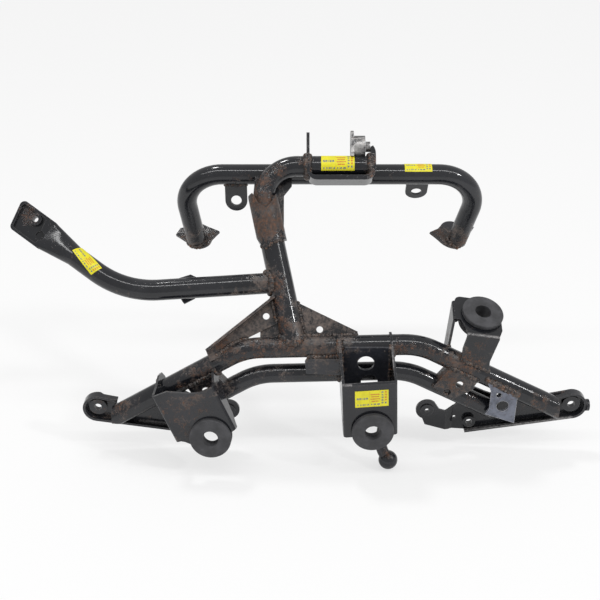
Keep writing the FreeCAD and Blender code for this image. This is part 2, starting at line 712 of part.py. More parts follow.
def make_left_bracket(cross_bar, lower_bar):
    """Folded bracket on the left wing, with uneven walls."""
    left, right = -33.2, 22.3
    hole_x, hole_z = LEFT_HOLE
    low = hole_z - LOBE_R
    channel = u_channel(left, right, low, 60, 60, LEFT_PLACE)
    left_wall = side_cut([(0, 53), (18, 54.5), (38, 57.5), (46, 56.5), (49, 51), (46, 44), (30, 24), (8, 5),
                          (0, 4.2)], left, left + SHEET + 3)
    right_wall = side_cut([(0, 41), (8, 41), (34, 51.5), (43, 47), (25, 30), (18, 19), (15, 6), (8, -6),
                           (0, -5)], right - SHEET - 3, right)
    middle = Part.makeBox(right - left, FOLD_R, 80, Vector(left, 0, low))
    reach = math.sqrt(LOBE_R ** 2 - (hole_z + 6) ** 2)
    face = front_cut([(left, 53), (-18.5, 52.6), (-7.4, 46.9), (2.2, 42.2), (9.2, 40.3), (right, 41.2),
                      (right, -5), (hole_x + reach, -6), ((hole_x, low), (hole_x - reach - 0.5, -6)),
                      (-25.4, 1.8), (-28.5, 3.8), (left, 4.2)], FOLD_R)
    sides = left_wall.fuse(right_wall)
    body = channel.common(middle).common(face).fuse(channel.cut(middle).common(sides)).removeSplitter()
    body = body.cut(neck_hole(hole_x, hole_z))
    return trimmed(moved(body, LEFT_PLACE), cross_bar, lower_bar)


def right_bracket_place():
    """Frame of the right top plate: local X along its front fold, local Z to the back, seen from above."""
    lean = math.radians(8.7)
    tip = math.radians(18.6)
    normal = Vector(math.sin(lean) * math.cos(tip), -math.sin(tip), math.cos(lean) * math.cos(tip))
    along = Vector(math.cos(lean), 0, -math.sin(lean))
    back = normal.cross(along)
    return frame(Vector(131.1, -6, 14.7), along, back), along, back, normal


RIGHT_PLACE, RIGHT_ALONG, RIGHT_BACK, RIGHT_NORMAL = right_bracket_place()
RIGHT_HOLE = (0.0, 25.0)


def make_right_bracket(cross_bar):
    """Table bracket on the right wing: top plate, front leg and side leg."""
    top_shape = [(-14.5, 0), (14.5, 0), (17.5, 8), (17.5, 32), ((15, 40), (8, 44)), (-19, 44),
                 ((-22.9, 42), (-24.5, 38)), (-24.5, 15.5), (-20, 15.5)]
    # Local Y of this frame points down through the plate
    top = plate(top_shape, RIGHT_PLACE, 0, SHEET)
    top = top.cut(bar_along(RIGHT_PLACE, RIGHT_HOLE[0], RIGHT_HOLE[1], -SHEET, 3 * SHEET,
                            GROMMET_NECK_R + NECK_PLAY))
    fold = RIGHT_PLACE.Base - RIGHT_NORMAL * SHEET
    front_fold = straight_bar(fold - RIGHT_ALONG * 14.5, fold + RIGHT_ALONG * 14.5, SHEET)
    left_end = fold - RIGHT_ALONG * 14.5
    right_end = fold + RIGHT_ALONG * 14.5
    leg_shape = [pair(left_end), pair(right_end), (138.4, -11.8), (138.2, -28), (112.5, -16), (113, 0.8)]
    front_leg = plate(leg_shape, Placement(), fold.y - SHEET, SHEET)
    corner = fold - RIGHT_ALONG * 24.5 + RIGHT_BACK * 15.5
    side_fold = straight_bar(corner, corner + RIGHT_BACK * 22.5, SHEET)
    side_place = frame(corner, RIGHT_BACK, RIGHT_NORMAL)
    side_leg = plate([(0, 0), (22.5, 0), (-1, -34), (-18, -32)], side_place, 0, SHEET)
    body = top.fuse([front_fold, front_leg, side_fold, side_leg]).removeSplitter()
    return trimmed(body, cross_bar)


# Stamped side plates

WEB_FRONT = CROSS_OD / 2


class SideForm:
    """Points of one side plate: its tip, the line of its lower rim and its inner lobe."""

    def __init__(self, side, tip_x, tip_z, lobe_x, lobe_z, slope, rise):
        low_angle = math.radians(slope)
        up_angle = math.radians(rise)
        low = Vector(side * math.sin(low_angle), 0, -math.cos(low_angle))
        up = Vector(-side * math.sin(up_angle), 0, math.cos(up_angle))
        along = Vector(side * math.cos(low_angle), 0, math.sin(low_angle))
        back = Vector(-side * math.cos(up_angle), 0, -math.sin(up_angle))
        inner_r = TIP_R - SHEET
        self.side = side
        self.tip = Vector(tip_x, 0, tip_z)
        self.lobe = Vector(lobe_x, 0, lobe_z)
        self.under = self.tip + low * TIP_R
        self.over = self.tip + up * TIP_R
        self.far = self.tip + Vector(side * TIP_R, 0, 0)
        self.under_in = self.tip + low * inner_r
        self.over_in = self.tip + up * inner_r
        self.far_in = self.tip + Vector(side * inner_r, 0, 0)
        self.foot = self.under - along * (abs(tip_x) - RIM_START_X)
        self.foot_in = self.foot - low * SHEET
        self.rim_end = self.over + back * 17
        self.rim_in = self.rim_end - up * SHEET


LEFT_FORM = SideForm(-1, LEFT_TIP_X, LEFT_TIP_Z, -99.4, -72.6, 8.9, 12.5)
RIGHT_FORM = SideForm(1, RIGHT_TIP_X, RIGHT_TIP_Z, 86.7, -72.7, 9.2, 20.0)


def pair(at):
    """The X and Z of a point, for an outline."""
    return (at.x, at.z)


def make_side_plate(form, wing, cross_bar, lower_bar):
    """Web behind the tubes with a rim along its lower edge and round its tip, and a stepped inner lobe."""
    side = form.side
    lobe = form.lobe
    lobe_r = 10.3
    shape = [pair(form.foot), pair(form.under), (pair(form.far), pair(form.over)),
             wing.flat(138, 4), wing.flat(84, -1), wing.flat(74, -20),
             (lobe.x + side * 26, lobe.z + 2), (lobe.x + side * 17, lobe.z - 1.6), (lobe.x + side * 12, lobe.z),
             (lobe.x + side * 7, lobe.z + 7.6),
             ((lobe.x - side * lobe_r, lobe.z), (lobe.x - side * 4, lobe.z - 9.5)),
             (lobe.x - side * 1.2, lobe.z - 16.5), (lobe.x + side * 21, lobe.z - 23.3)]
    blank = plate(shape, Placement(), WEB_FRONT - 10, SHEET + 20)
    near = lobe.x + side * 18
    step = lobe.x + side * 25
    strip = [Vector(lobe.x - side * 30, WEB_FRONT + LOBE_STEP, -160), Vector(near, WEB_FRONT + LOBE_STEP, -160),
             Vector(step, WEB_FRONT, -160), Vector(side * 300, WEB_FRONT, -160),
             Vector(side * 300, WEB_FRONT + SHEET, -160), Vector(step, WEB_FRONT + SHEET, -160),
             Vector(near, WEB_FRONT + SHEET + LOBE_STEP, -160),
             Vector(lobe.x - side * 30, WEB_FRONT + SHEET + LOBE_STEP, -160)]
    sheet = Part.Face(Part.makePolygon(strip + [strip[0]])).extrude(Vector(0, 0, 200))
    web = blank.common(sheet)
    rim = plate([pair(form.foot), pair(form.under), (pair(form.far), pair(form.over)), pair(form.rim_end),
                 pair(form.rim_in), pair(form.over_in), (pair(form.far_in), pair(form.under_in)),
                 pair(form.foot_in)], Placement(), WEB_FRONT - TIP_RIM, TIP_RIM)
    ring = ring_nut(Placement(), lobe.x, lobe.z, WEB_FRONT + LOBE_STEP - 1.2, 1.2, 6.2, 2.0)
    body = web.fuse([rim, ring]).removeSplitter()
    holes = [bar_along(Placement(), form.tip.x, form.tip.z, WEB_FRONT - 1, SHEET + 2, TIP_BORE_R),
             bar_along(Placement(), lobe.x, lobe.z, WEB_FRONT - 10, SHEET + 12, 2.0),
             bar_along(Placement(), lobe.x + side * 26.8, lobe.z - 10.6, WEB_FRONT - 1, SHEET + 2, 1.5),
             bar_along(Placement(), lobe.x + side * SIDE_NUT_RUN, lobe.z - SIDE_NUT_FALL, WEB_FRONT - 1,
                       SHEET + 2, SIDE_NUT_BORE)]
    return trimmed(body, cross_bar, lower_bar, *holes)


def make_side_nut(form):
    """Weld nut on the front of a side plate."""
    x = form.lobe.x + form.side * SIDE_NUT_RUN
    return ring_nut(Placement(), x, form.lobe.z - SIDE_NUT_FALL, WEB_FRONT - SIDE_NUT_HIGH, SIDE_NUT_HIGH,
                    SIDE_NUT_R, SIDE_NUT_BORE)


def make_tip_boss(form):
    """Low spacer collar welded to the web in the tip."""
    return ring_nut(Placement(), form.tip.x, form.tip.z, WEB_FRONT - TIP_BOSS_HIGH, TIP_BOSS_HIGH,
                    TIP_BOSS_R, TIP_BORE_R)


def make_tip_stud():
    """Short stub on the outer edge of the right tip."""
    start = Vector(RIGHT_TIP_X, WEB_FRONT - 3, RIGHT_TIP_Z - 0.5)
    stub = Part.makeCylinder(5.6, TIP_R + 2.4, start, Vector(1, 0, 0))
    disc = bar_along(Placement(), RIGHT_TIP_X, RIGHT_TIP_Z, WEB_FRONT - 20, 40, TIP_R)
    return stub.cut(disc)


def make_tie_gusset(wing, cross_bar, lower_bar):
    """Plate between the two tubes of a wing with two holes and a flange folded back."""
    front = LOWER_DEPTH - LOWER_OD / 2 - SHEET
    points = [wing.flat(*pair) for pair in ((34, -4), (63, -4), (63, -15.5), (51.5, -33.5), (30, -28))]
    body = plate(points, Placement(), front, SHEET)
    for run, rise in ((50.2, -15.5), (44.3, -27.7)):
        x, z = wing.flat(run, rise)
        body = body.cut(bar_along(Placement(), x, z, front - 1, SHEET + 2, 3.5))
    lip = plate([wing.flat(*pair) for pair in ((34, -4), (34 + SHEET, -4), (30 + SHEET, -28), (30, -28))],
                Placement(), front, 13)
    return trimmed(body.fuse(lip).removeSplitter(), cross_bar, lower_bar)


def make_clip_plate(cross_bar, lower_bar):
    """Bare plate welded to the front of the right wing, with a notched edge and two holes."""
    shape = [(137, -30), (166, -45.5), (165.5, -75.7), (138, -65.8), (141.2, -59.4), (141.4, -42)]
    front = -CROSS_OD / 2 - SHEET
    body = plate(shape, Placement(), front, SHEET)
    body = body.cut(bar_along(Placement(), 148.8, -45.1, front - 1, SHEET + 2, 2.5))
    return body.cut(bar_along(Placement(), 153.1, -56.9, front - 1, SHEET + 2, 5.5))


def build():
    """All named pieces about the construction datum."""
    nodes = {}
    nodes["cross_tube"], cross_bar = make_cross_tube()
    nodes["lower_tube"], lower_bar = make_lower_tube()
    nodes["top_arm_tube"], arm_bar = make_top_arm()
    nodes["mast_tube"], mast_bar = make_mast_tube(cross_bar, arm_bar)
    nodes["side_arm_tube"], side_bar, flat_place = make_side_arm(mast_bar)
    nodes["arm_end_nut"] = make_arm_nut(flat_place)
    nodes["arm_tab"] = make_arm_tab()
    nodes["hoop_tube"], hoop_bar = make_hoop()
    left_end, left_top, right_top, right_end = hoop_points()
    nodes["left_hoop_foot"] = make_foot(left_end, left_top, LEFT_FOOT)
    nodes["right_hoop_foot"] = make_foot(right_end, right_top, RIGHT_FOOT)
    nodes["left_hoop_tab"] = make_tab(LEFT_TAB_X, 0, hoop_bar)
    nodes["right_hoop_tab"] = make_tab(RIGHT_TAB_X, RIGHT_TAB_TILT, hoop_bar)
    nodes["mast_collar"] = make_collar(arm_bar, mast_bar)
    nodes["hoop_gusset"] = make_hoop_gusset(arm_bar, mast_bar, hoop_bar, nodes["mast_collar"])
    nodes["head_bracket"] = make_head_bracket(arm_bar, hoop_bar)
    nodes["head_ear"] = make_head_ear(arm_bar, hoop_bar)
    nodes["head_bush"] = make_head_bush(arm_bar, hoop_bar)
    nodes["left_mast_gusset"], nodes["right_mast_gusset"], nodes["mast_rear_plate"] = make_mast_gussets(
        cross_bar, mast_bar)
    nodes["centre_back_plate"], behind = make_back_plate(cross_bar, lower_bar)
    nodes["centre_bracket"] = make_centre_bracket(cross_bar, lower_bar, behind)
    nodes["centre_grommet"] = make_grommet(CENTRE_PLACE, CENTRE_GROMMET_X, CENTRE_GROMMET_Z)
    nodes["ball_stud"] = make_ball_stud(behind, nodes["centre_bracket"])
    nodes["left_grommet_bracket"] = make_left_bracket(cross_bar, lower_bar)
    nodes["left_grommet"] = make_grommet(LEFT_PLACE, *LEFT_HOLE)
    nodes["right_grommet_bracket"] = make_right_bracket(cross_bar)
    nodes["right_grommet"] = make_grommet(RIGHT_PLACE, *RIGHT_HOLE)
    nodes["left_side_plate"] = make_side_plate(LEFT_FORM, LEFT_WING, cross_bar, lower_bar)
    nodes["right_side_plate"] = make_side_plate(RIGHT_FORM, RIGHT_WING, cross_bar, lower_bar)
    nodes["left_tip_boss"] = make_tip_boss(LEFT_FORM)
    nodes["right_tip_boss"] = make_tip_boss(RIGHT_FORM)
    nodes["left_side_nut"] = make_side_nut(LEFT_FORM)
    nodes["right_side_nut"] = make_side_nut(RIGHT_FORM)
    nodes["tip_stud"] = make_tip_stud()
    left_bracket = nodes["left_grommet_bracket"]
    nodes["left_side_plate"] = trimmed(nodes["left_side_plate"], left_bracket)
    nodes["left_tie_gusset"] = trimmed(make_tie_gusset(LEFT_WING, cross_bar, lower_bar), left_bracket)
    nodes["right_tie_gusset"] = make_tie_gusset(RIGHT_WING, cross_bar, lower_bar)
    nodes["clip_plate"] = make_clip_plate(cross_bar, lower_bar)
    return nodes


def datum_to_origin():
    """Move that brings the middle of the centre grommet's bore to the origin."""
    middle = CENTRE_PLACE.multVec(Vector(CENTRE_GROMMET_X, SHEET / 2, CENTRE_GROMMET_Z))
    return middle * -1


def main():
    """Write one STEP file for each named piece."""
    os.makedirs("parts", exist_ok=True)
    move = datum_to_origin()
    for name, shape in build().items():
        shape.translate(move)
        shape.exportStep(os.path.join("parts", name + ".step"))


main()
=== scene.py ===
import json
import math

import bmesh
import bpy
from bpy.props import FloatProperty, FloatVectorProperty, IntProperty, PointerProperty
from mathutils import Matrix, Vector
from mathutils.bvhtree import BVHTree


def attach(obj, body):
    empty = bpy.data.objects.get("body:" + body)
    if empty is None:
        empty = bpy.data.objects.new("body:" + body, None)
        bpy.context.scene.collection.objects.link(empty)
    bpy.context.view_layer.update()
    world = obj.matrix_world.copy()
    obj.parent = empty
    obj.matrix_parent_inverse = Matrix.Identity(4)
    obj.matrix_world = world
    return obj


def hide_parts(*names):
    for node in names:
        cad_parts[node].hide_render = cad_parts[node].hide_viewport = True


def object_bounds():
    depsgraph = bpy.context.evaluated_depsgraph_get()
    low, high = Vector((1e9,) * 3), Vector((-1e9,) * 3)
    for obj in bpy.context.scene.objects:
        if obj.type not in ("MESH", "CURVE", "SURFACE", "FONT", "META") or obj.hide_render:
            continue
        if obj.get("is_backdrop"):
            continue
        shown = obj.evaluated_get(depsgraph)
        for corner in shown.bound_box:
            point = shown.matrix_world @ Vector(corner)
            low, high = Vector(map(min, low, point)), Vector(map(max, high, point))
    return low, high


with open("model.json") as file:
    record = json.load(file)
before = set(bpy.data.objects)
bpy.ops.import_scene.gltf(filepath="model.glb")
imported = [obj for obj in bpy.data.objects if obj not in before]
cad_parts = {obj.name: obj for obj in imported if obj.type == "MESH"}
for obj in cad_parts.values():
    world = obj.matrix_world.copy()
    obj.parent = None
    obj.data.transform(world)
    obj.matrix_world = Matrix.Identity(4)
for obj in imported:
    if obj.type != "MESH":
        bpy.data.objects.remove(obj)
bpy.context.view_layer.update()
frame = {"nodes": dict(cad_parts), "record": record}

bl_info = {
    "name": "Fairing stay finish",
    "version": (1, 0, 0),
    "blender": (4, 5, 0),
    "location": "View3D > Sidebar > Stay",
    "description": "Worn paint, weld beads, rubber grommets and stickers for a welded fairing stay",
    "category": "Object",
}

# Places below are in millimetres about the middle of the cross tube, as the stay's designer
# would give them. X runs right, Y away from the viewer, Z up. The model's own origin is the
# centre grommet's bore.
MM = 0.001
CROSS_MIDDLE = Vector((-32.33, 40.74, 62.68))
MAST_LEAN = math.radians(36)
BODY = "root"

# Tubes as the seams and stickers see them: radii, places of the lower tube, the hoop and the arm, and
# directions of the left wing, the hoop's legs and their ends
CROSS_R = 9.55
LOWER_R = 8.65
MAST_R = 11.1
ARM_R = 9.55
LOWER_TUBE_Z = -27.9
LOWER_TUBE_Y = 0.9
HOOP_Y = 111.8
HOOP_Z = 121.5
ARM_HEIGHT = 166.4
ACROSS = (1, 0, 0)
LEFT_WING_AXIS = (-0.857, 0.0, -0.515)
LEFT_LEG = Vector((10.5, 28, -84))
RIGHT_LEG = Vector((-18, 28, -84))
LEFT_FOOT = Vector((-146, HOOP_Y, HOOP_Z)) + LEFT_LEG
RIGHT_FOOT = Vector((142, HOOP_Y, HOOP_Z)) + RIGHT_LEG

# Search for seams: spacing of their points, turns between the two surfaces, widest gap a bead fills, least
# share of the spacing that is kept, a plain bead's size, and depths of a gusset's two faces
SEAM_SPACING = 2.0 * MM
SEAM_TURNS = 24
SEAM_MAX_GAP = 1.5 * MM
SEAM_THINNING = 0.35
PLAIN_BEAD = 1.0
GUSSET_FACES = (-2, 2)

# Paints: name, lean towards rust and how much lighter the black is made, as painted light for a plate that
# lies in shade. Steels: name, dark grey, light grey and metallic share
PAINTS = {"plain": ("worn_black_paint", 0.0), "rusty": ("rusty_black_paint", 0.045),
          # A lighter copy of the black paint: painted light for the centre back plate, which lies in shade
          "chalky": ("chalky_black_paint", -0.01, 2.2)}
STEELS = {"bare": ("bare_steel", (0.085, 0.092, 0.115), (0.20, 0.215, 0.265), 0.40),
          "bright": ("scuffed_steel", (0.07, 0.07, 0.075), (0.50, 0.49, 0.48), 0.85)}

# Finish of each node that isn't in plain paint
FINISH_OF = {"clip_plate": "bare", "head_ear": "bright", "head_bush": "bright",
             # The centre back plate gets the lighter copy of the black paint, as painted light for the shade
             # it lies in inside the centre bracket
             "centre_back_plate": "chalky", "mast_collar": "rusty", "left_mast_gusset": "rusty",
             "hoop_gusset": "rusty", "left_tie_gusset": "rusty", "right_tie_gusset": "rusty"}

# Rubber nodes, and how much thicker the lower flange is where it isn't like the upper
RUBBER_NODES = ("centre_grommet", "left_grommet", "right_grommet")
GROMMET_FOOT = {"right_grommet": 6.5}

# Cells of a sticker over its height and along its length, and where the stickers on tubes look
STICKER_ROWS = 12
STICKER_COLUMNS = 12
STICKER_VIEW = (-0.05, -0.93, 0.36)

# Window of the right side plate as x and z, the depths between which it is cut, and the distance within
# which two of the plate's corners are one
WINDOW = ((119, -21), (153, -37), (153, -60), (140, -55), (119, -45))
WINDOW_NEAR = -14
WINDOW_FAR = 40
SAME_POINT = 0.001 * MM

# Ball stud: its ball, its rod from the ball to the back plate's lower edge as x, y, z and radius, and how
# finely both are made
STUD_BALL = (49.0, -27.0, -106.0)
STUD_BALL_R = 8.8
BALL_SEGMENTS = 48
BALL_RINGS = 32
STUD_PATH = ((49.0, -27.0, -106.0, 5.3), (43.4, -24.0, -96.5, 5.3), (42.6, -20.0, -88.0, 5.2),
             (44.0, -14.0, -74.0, 4.8), (42.0, -11.5, -60.0, 4.6), (36.0, -11.5, -46.0, 4.6))
ROD_STEPS = 8
ROD_SEGMENTS = 32

# Stage in metres: where the lamps shine from, the floor's half width, its distance below the stay and its
# white; the camera's place is in millimetres
KEY_FROM = (-0.30, 0.35, 1.0)
FILL_FROM = (1.1, -0.55, 0.85)
STRIP_AT = (0.0, -0.50, 1.55)
CAMERA_AT = (-32.4, -775.2, 459.1)
SENSOR_WIDTH = 36.0
CLIP_NEAR = 0.01
CLIP_FAR = 50.0
FLOOR_HALF = 6.0
FLOOR_DROP = 0.5 * MM
WHITE = (1.0, 1.0, 1.0, 1.0)

# Places where the paint has burnt or worn through to rust: x, y, z, radius, strength
RUST_ZONES = (
    (-62, 62, 90, 20, 1.0), (-67, 70, 113, 15, 1.0), (-67, 82, 127, 13, 0.9), (-51, 87, 135, 8, 0.9),
    (-60, 111, 131, 9, 0.5), (-93, 106, 114, 9, 0.5), (-77, 102, 121, 7, 0.5), (-54, 24, 50, 12, 0.9),
    (-53, 16, 36, 10, 0.8), (-49, 4, 19, 10, 0.8), (-46, -7, 5, 12, 0.9), (-66, -9, -1, 16, 0.8),
    (-86, -9, -7, 13, 0.7), (-32, -9, 1, 13, 0.7), (-13, -9, 1, 10, 0.7), (1, -9, 1, 8, 0.8),
    (58, -10, 2, 9, 0.9), (67, -9, 3, 9, 0.6), (84, -10, -3, 9, 0.8), (99, -10, -11, 10, 0.8),
    (120, -8, -12, 14, 1.0), (126, -8, 6, 11, 0.6), (98, -10, -24, 14, 0.8), (108, -10, -35, 11, 0.7),
    (126, -7, -54, 9, 0.6), (188, -10, -57, 11, 0.7), (-123, -8, -20, 13, 0.7), (-138, -9, -39, 9, 0.7),
    (-199, -5, -62, 11, 0.8), (-217, 7, -68, 9, 0.6), (209, 10, -56, 9, 0.6), (-144, -35, -45, 18, 0.5),
    (-126, -36, -40, 18, 0.5), (-135, -39, -65, 10, 0.6), (-103, 0, 1, 9, 0.8), (-99, -6, -3, 9, 0.9),
    (-148, 144, 41, 11, 0.9), (-122, 140, 43, 11, 0.9), (108, 144, 46, 11, 0.9), (131, 128, 46, 10, 0.9),
    (48, -30, -95, 8, 0.8), (-28, 93, 143, 8, 0.8), (33, 90, 144, 7, 0.9), (32, 83, 135, 7, 0.9),
    (-280, 70, 98, 10, 0.9),
)

# Places under a brown-grey film of dirt and scale: x, y, z, radius, strength
DIRT_ZONES = (
    (-67, -4, -4, 44, 0.6), (-14, -5, 0, 34, 0.9), (62, -8, -4, 22, 0.4), (-112, -10, -20, 40, 0.6),
    (112, -8, -20, 34, 0.8), (-78, 13, 20, 34, 1.1), (-10, 12, 18, 36, 1.1), (-138, -35, -50, 50, 0.3),
    (190, -5, -60, 26, 0.5), (-205, 0, -70, 36, 0.5), (-136, 140, 40, 26, 1.0), (120, 136, 42, 26, 1.0),
    (-66, 32, 52, 15, 0.9), (-60, 12, 28, 15, 0.9), (-64, 66, 100, 26, 1.1), (48, -30, -92, 12, 0.4),
)

# Folds and flange tops painted pale grey, partly as worn paint and partly as a painted highlight where they
# face the light from above: start, end, width
RUB_AND_HIGHLIGHT_LINES = (
    ((-96, -34, -18), (-84, -41, -78), 4.0),
    ((-13, -42, -14), (12, -42, -15), 1.6),
    ((2, -40, -14), (2, -8, 9), 1.6),
    ((49, -39, -14), (50, -8, 9), 1.6),
    ((116, -6, 16), (146, -6, 12), 2.0),
    ((118, 5, -95), (222, 3, -80), 3.0),
    ((-140, 8, -93), (-184, 9, -88), 2.4),
)


def place(x, y, z):
    """Point of the model frame from millimetres about the cross tube's middle."""
    return (Vector((x, y, z)) + CROSS_MIDDLE) * MM


def leaning(x, height, depth=0.0):
    """Point in the plane of the mast, which leans back from the cross tube."""
    back = math.sin(MAST_LEAN)
    rise = math.cos(MAST_LEAN)
    return (x, height * back + depth * rise, height * rise - depth * back)


def leaned(*points):
    """Several points in the plane of the mast."""
    return [leaning(*point) for point in points]


MAST_AXIS = leaning(-0.208, 0.978)
SIDE_ARM_AXIS = leaning(-0.998, -0.063)


def across_axis(axis, viewer):
    """Two directions across an axis: towards a viewer, and up from there."""
    along = Vector(axis).normalized()
    front = (Vector(viewer) - along * Vector(viewer).dot(along)).normalized()
    top = front.cross(along)
    if top.z < 0:
        top.negate()
    return front, top


def turned_to(first, second, turn):
    """Direction at an angle from one direction towards another."""
    return first * math.cos(turn) + second * math.sin(turn)


def ring(centre, axis, radius, start=0.0, end=360.0, steps=24):
    """Points round an axis in millimetres; 0 degrees looks towards the viewer and 90 degrees up."""
    front, top = across_axis(axis, (0, -1, 0))
    turns = [math.radians(start + (end - start) * step / steps) for step in range(steps + 1)]
    return [tuple(Vector(centre) + turned_to(front, top, turn) * radius) for turn in turns]


# Settings

def length(name, description, default, low=0.0):
    """Setting for a length in metres."""
    return FloatProperty(name=name, description=description, subtype="DISTANCE", unit="LENGTH",
                         default=default, min=low)


def angle(name, description, degrees):
    """Setting for an angle."""
    return FloatProperty(name=name, description=description, subtype="ANGLE", default=math.radians(degrees))


def number(name, description, default, low=0.0, high=1000.0):
    """Setting for a plain number."""
    return FloatProperty(name=name, description=description, default=default, min=low, max=high)


def colour(name, description, default):
    """Setting for a colour."""
    return FloatVectorProperty(name=name, description=description, subtype="COLOR", default=default)


class PaintSettings(bpy.types.PropertyGroup):
    """Colours and wear of the black paint."""

    black: colour("Black", "Colour of sound paint", (0.0092, 0.0100, 0.0128))
    faded: colour("Faded", "Colour of dull, chalked paint", (0.022, 0.023, 0.028))
    dust: colour("Dust", "Colour of the dust on what faces up", (0.070, 0.066, 0.066))
    dark_rust: colour("Dark rust", "Colour of old rust", (0.040, 0.022, 0.015))
    light_rust: colour("Light rust", "Colour of fresh rust", (0.200, 0.082, 0.036))
    dark_dirt: colour("Dark dirt", "Colour of the thin film of dirt", (0.028, 0.023, 0.021))
    light_dirt: colour("Light dirt", "Colour of the thick film of dirt", (0.170, 0.130, 0.110))
    # Pale grey of worn edges, also used for the strips along folds and flange tops, which are partly a
    # painted highlight
    rubbed_and_highlight: colour("Rubbed", "Colour of rubbed edges", (0.26, 0.25, 0.25))
    patch_scale: number("Patch scale", "Patches of dust and dirt per metre", 46.0, 1.0)
    edge_width: length("Edge wear", "Width of worn edges", 0.0011, 0.0001)


class WeldSettings(bpy.types.PropertyGroup):
    """Shape of the weld beads."""

    radius: length("Bead radius", "Half the width of a bead", 0.0023, 0.0005)
    step: length("Ripple step", "Distance from one ripple to the next", 0.0016, 0.0004)
    ripple: number("Ripple length", "Length of a ripple over its width", 0.72, 0.2)
    wander: length("Wander", "How far ripples stray from the seam", 0.0004)
    seed: IntProperty(name="Seed", description="Seed of the ripples' unevenness", default=7)


class StickerSettings(bpy.types.PropertyGroup):
    """Paper stickers with plain bars."""

    paper: colour("Paper", "Colour of the paper", (0.88, 0.80, 0.02))
    dark_ink: colour("Dark ink", "Colour of the dark bars", (0.10, 0.13, 0.24))
    red_ink: colour("Red ink", "Colour of the red bars", (0.60, 0.13, 0.03))
    lift: length("Lift", "Height of the paper's underside over the steel", 0.00015)
    thickness: length("Thickness", "Thickness of the paper", 0.00015, 0.00005)


class RubberSettings(bpy.types.PropertyGroup):
    """Grommets."""

    colour: colour("Rubber", "Colour of the rubber", (0.040, 0.040, 0.043))
    outer_r: length("Outer radius", "Radius of the flanges", 0.0189, 0.001)
    neck_r: length("Neck radius", "Radius of the neck", 0.012, 0.001)
    bore_r: length("Bore radius", "Radius of the bore", 0.0072, 0.001)
    flange: length("Flange", "Thickness of each flange", 0.0046, 0.001)
    sheet: length("Sheet", "Thickness of the sheet it sits in", 0.0023, 0.0005)
    rounding: length("Rounding", "Radius of the rims", 0.0013, 0.0001)


class StageSettings(bpy.types.PropertyGroup):
    """Floor, lamps and camera."""

    floor: colour("Floor", "Colour of the floor", (0.95, 0.95, 0.95))
    backdrop: number("Backdrop", "Share of plain white in the floor as the camera sees it", 0.65, 0.0, 1.0)
    sky: number("Sky light", "Strength of the even light from all round", 0.45)
    mirrored: number("Mirrored sky", "Strength of the sky in reflections", 0.58)
    key: number("Key lamp", "Strength of the high lamp behind", 0.68)
    fill: number("Fill lamp", "Strength of the lamp in front", 0.55)
    strip: number("Strip lamp", "Power of the long, narrow lamp above the viewer", 13.0)
    strip_length: length("Strip length", "Length of the strip lamp", 3.4)
    strip_width: length("Strip width", "Width of the strip lamp", 0.10)
    narrow: angle("Narrow", "Width of the fill lamp as the stay sees it", 5)
    softness: angle("Softness", "Width of the key lamp as the stay sees it", 9)
    lens: FloatProperty(name="Lens", description="Focal length", unit="CAMERA", default=60.0)
    tilt: angle("Tilt", "Camera's angle up from straight down", 62)


# Shader building

def node(tree, kind, inputs=None, **settings):
    """Add a shader or geometry node, with its settings and its inputs as values or sockets."""
    made = tree.nodes.new(kind)
    for key, value in settings.items():
        setattr(made, key, value)
    for key, value in (inputs or {}).items():
        if isinstance(value, bpy.types.NodeSocket):
            tree.links.new(value, made.inputs[key])
        else:
            made.inputs[key].default_value = value
    return made


def calc(tree, operation, first, second=0.0, third=0.0):
    """Result of one Math node."""
    return node(tree, "ShaderNodeMath", {0: first, 1: second, 2: third}, operation=operation).outputs[0]


def times(tree, first, second):
    """Product of two values."""
    return calc(tree, "MULTIPLY", first, second)


def plus_share(tree, value, share, rest):
    """A share of one value plus the rest."""
    return calc(tree, "MULTIPLY_ADD", value, share, rest)


def blend(tree, first, second, shares):
    """Sum of two values in given shares."""
    return plus_share(tree, first, shares[0], times(tree, second, shares[1]))


def vector_calc(tree, operation, first, second, output="Vector"):
    """Result of one Vector Math node."""
    return node(tree, "ShaderNodeVectorMath", {0: first, 1: second}, operation=operation).outputs[output]


def scaled(tree, vector, share):
    """A vector times a value."""
    return node(tree, "ShaderNodeVectorMath", {0: vector, "Scale": share}, operation="SCALE").outputs[0]


def ramp(tree, value, low, high, start=0.0, end=1.0):
    """Smooth step of a value from one range to another."""
    values = {"Value": value, "From Min": low, "From Max": high, "To Min": start, "To Max": end}
    return node(tree, "ShaderNodeMapRange", values, interpolation_type="SMOOTHSTEP").outputs["Result"]


def grain(tree, position, scale, detail=4.0, roughness=0.6, distortion=0.0):
    """Noise value at a number of features per metre."""
    values = {"Vector": position, "Scale": scale, "Detail": detail, "Roughness": roughness,
              "Distortion": distortion}
    return node(tree, "ShaderNodeTexNoise", values).outputs["Fac"]


def mix(tree, share, first, second):
    """Mixture of two colours, each a socket or three numbers."""
    first, second = [value if isinstance(value, bpy.types.NodeSocket) else (*value, 1.0)
                     for value in (first, second)]
    return node(tree, "ShaderNodeMix", {0: share, 6: first, 7: second}, data_type="RGBA").outputs[2]


def blank_material(name):
    """Material with a Principled shader, as the material, its tree, the shader and Object coordinates."""
    material = bpy.data.materials.new(name)
    material.use_nodes = True
    tree = material.node_tree
    shader = tree.nodes["Principled BSDF"]
    position = tree.nodes.new("ShaderNodeTexCoord").outputs["Object"]
    return material, tree, shader, position


def largest(tree, values):
    """Largest of several values."""
    total = values[0]
    for value in values[1:]:
        total = calc(tree, "MAXIMUM", total, value)
    return total


def zones_near(tree, position, zones):
    """Largest strength that any zone has at a point."""
    near = []
    for x, y, z, radius, strength in zones:
        away = vector_calc(tree, "DISTANCE", position, place(x, y, z), "Value")
        near.append(ramp(tree, away, ZONE_CORE * radius * MM, ZONE_REACH * radius * MM, strength, 0.0))
    return largest(tree, near)


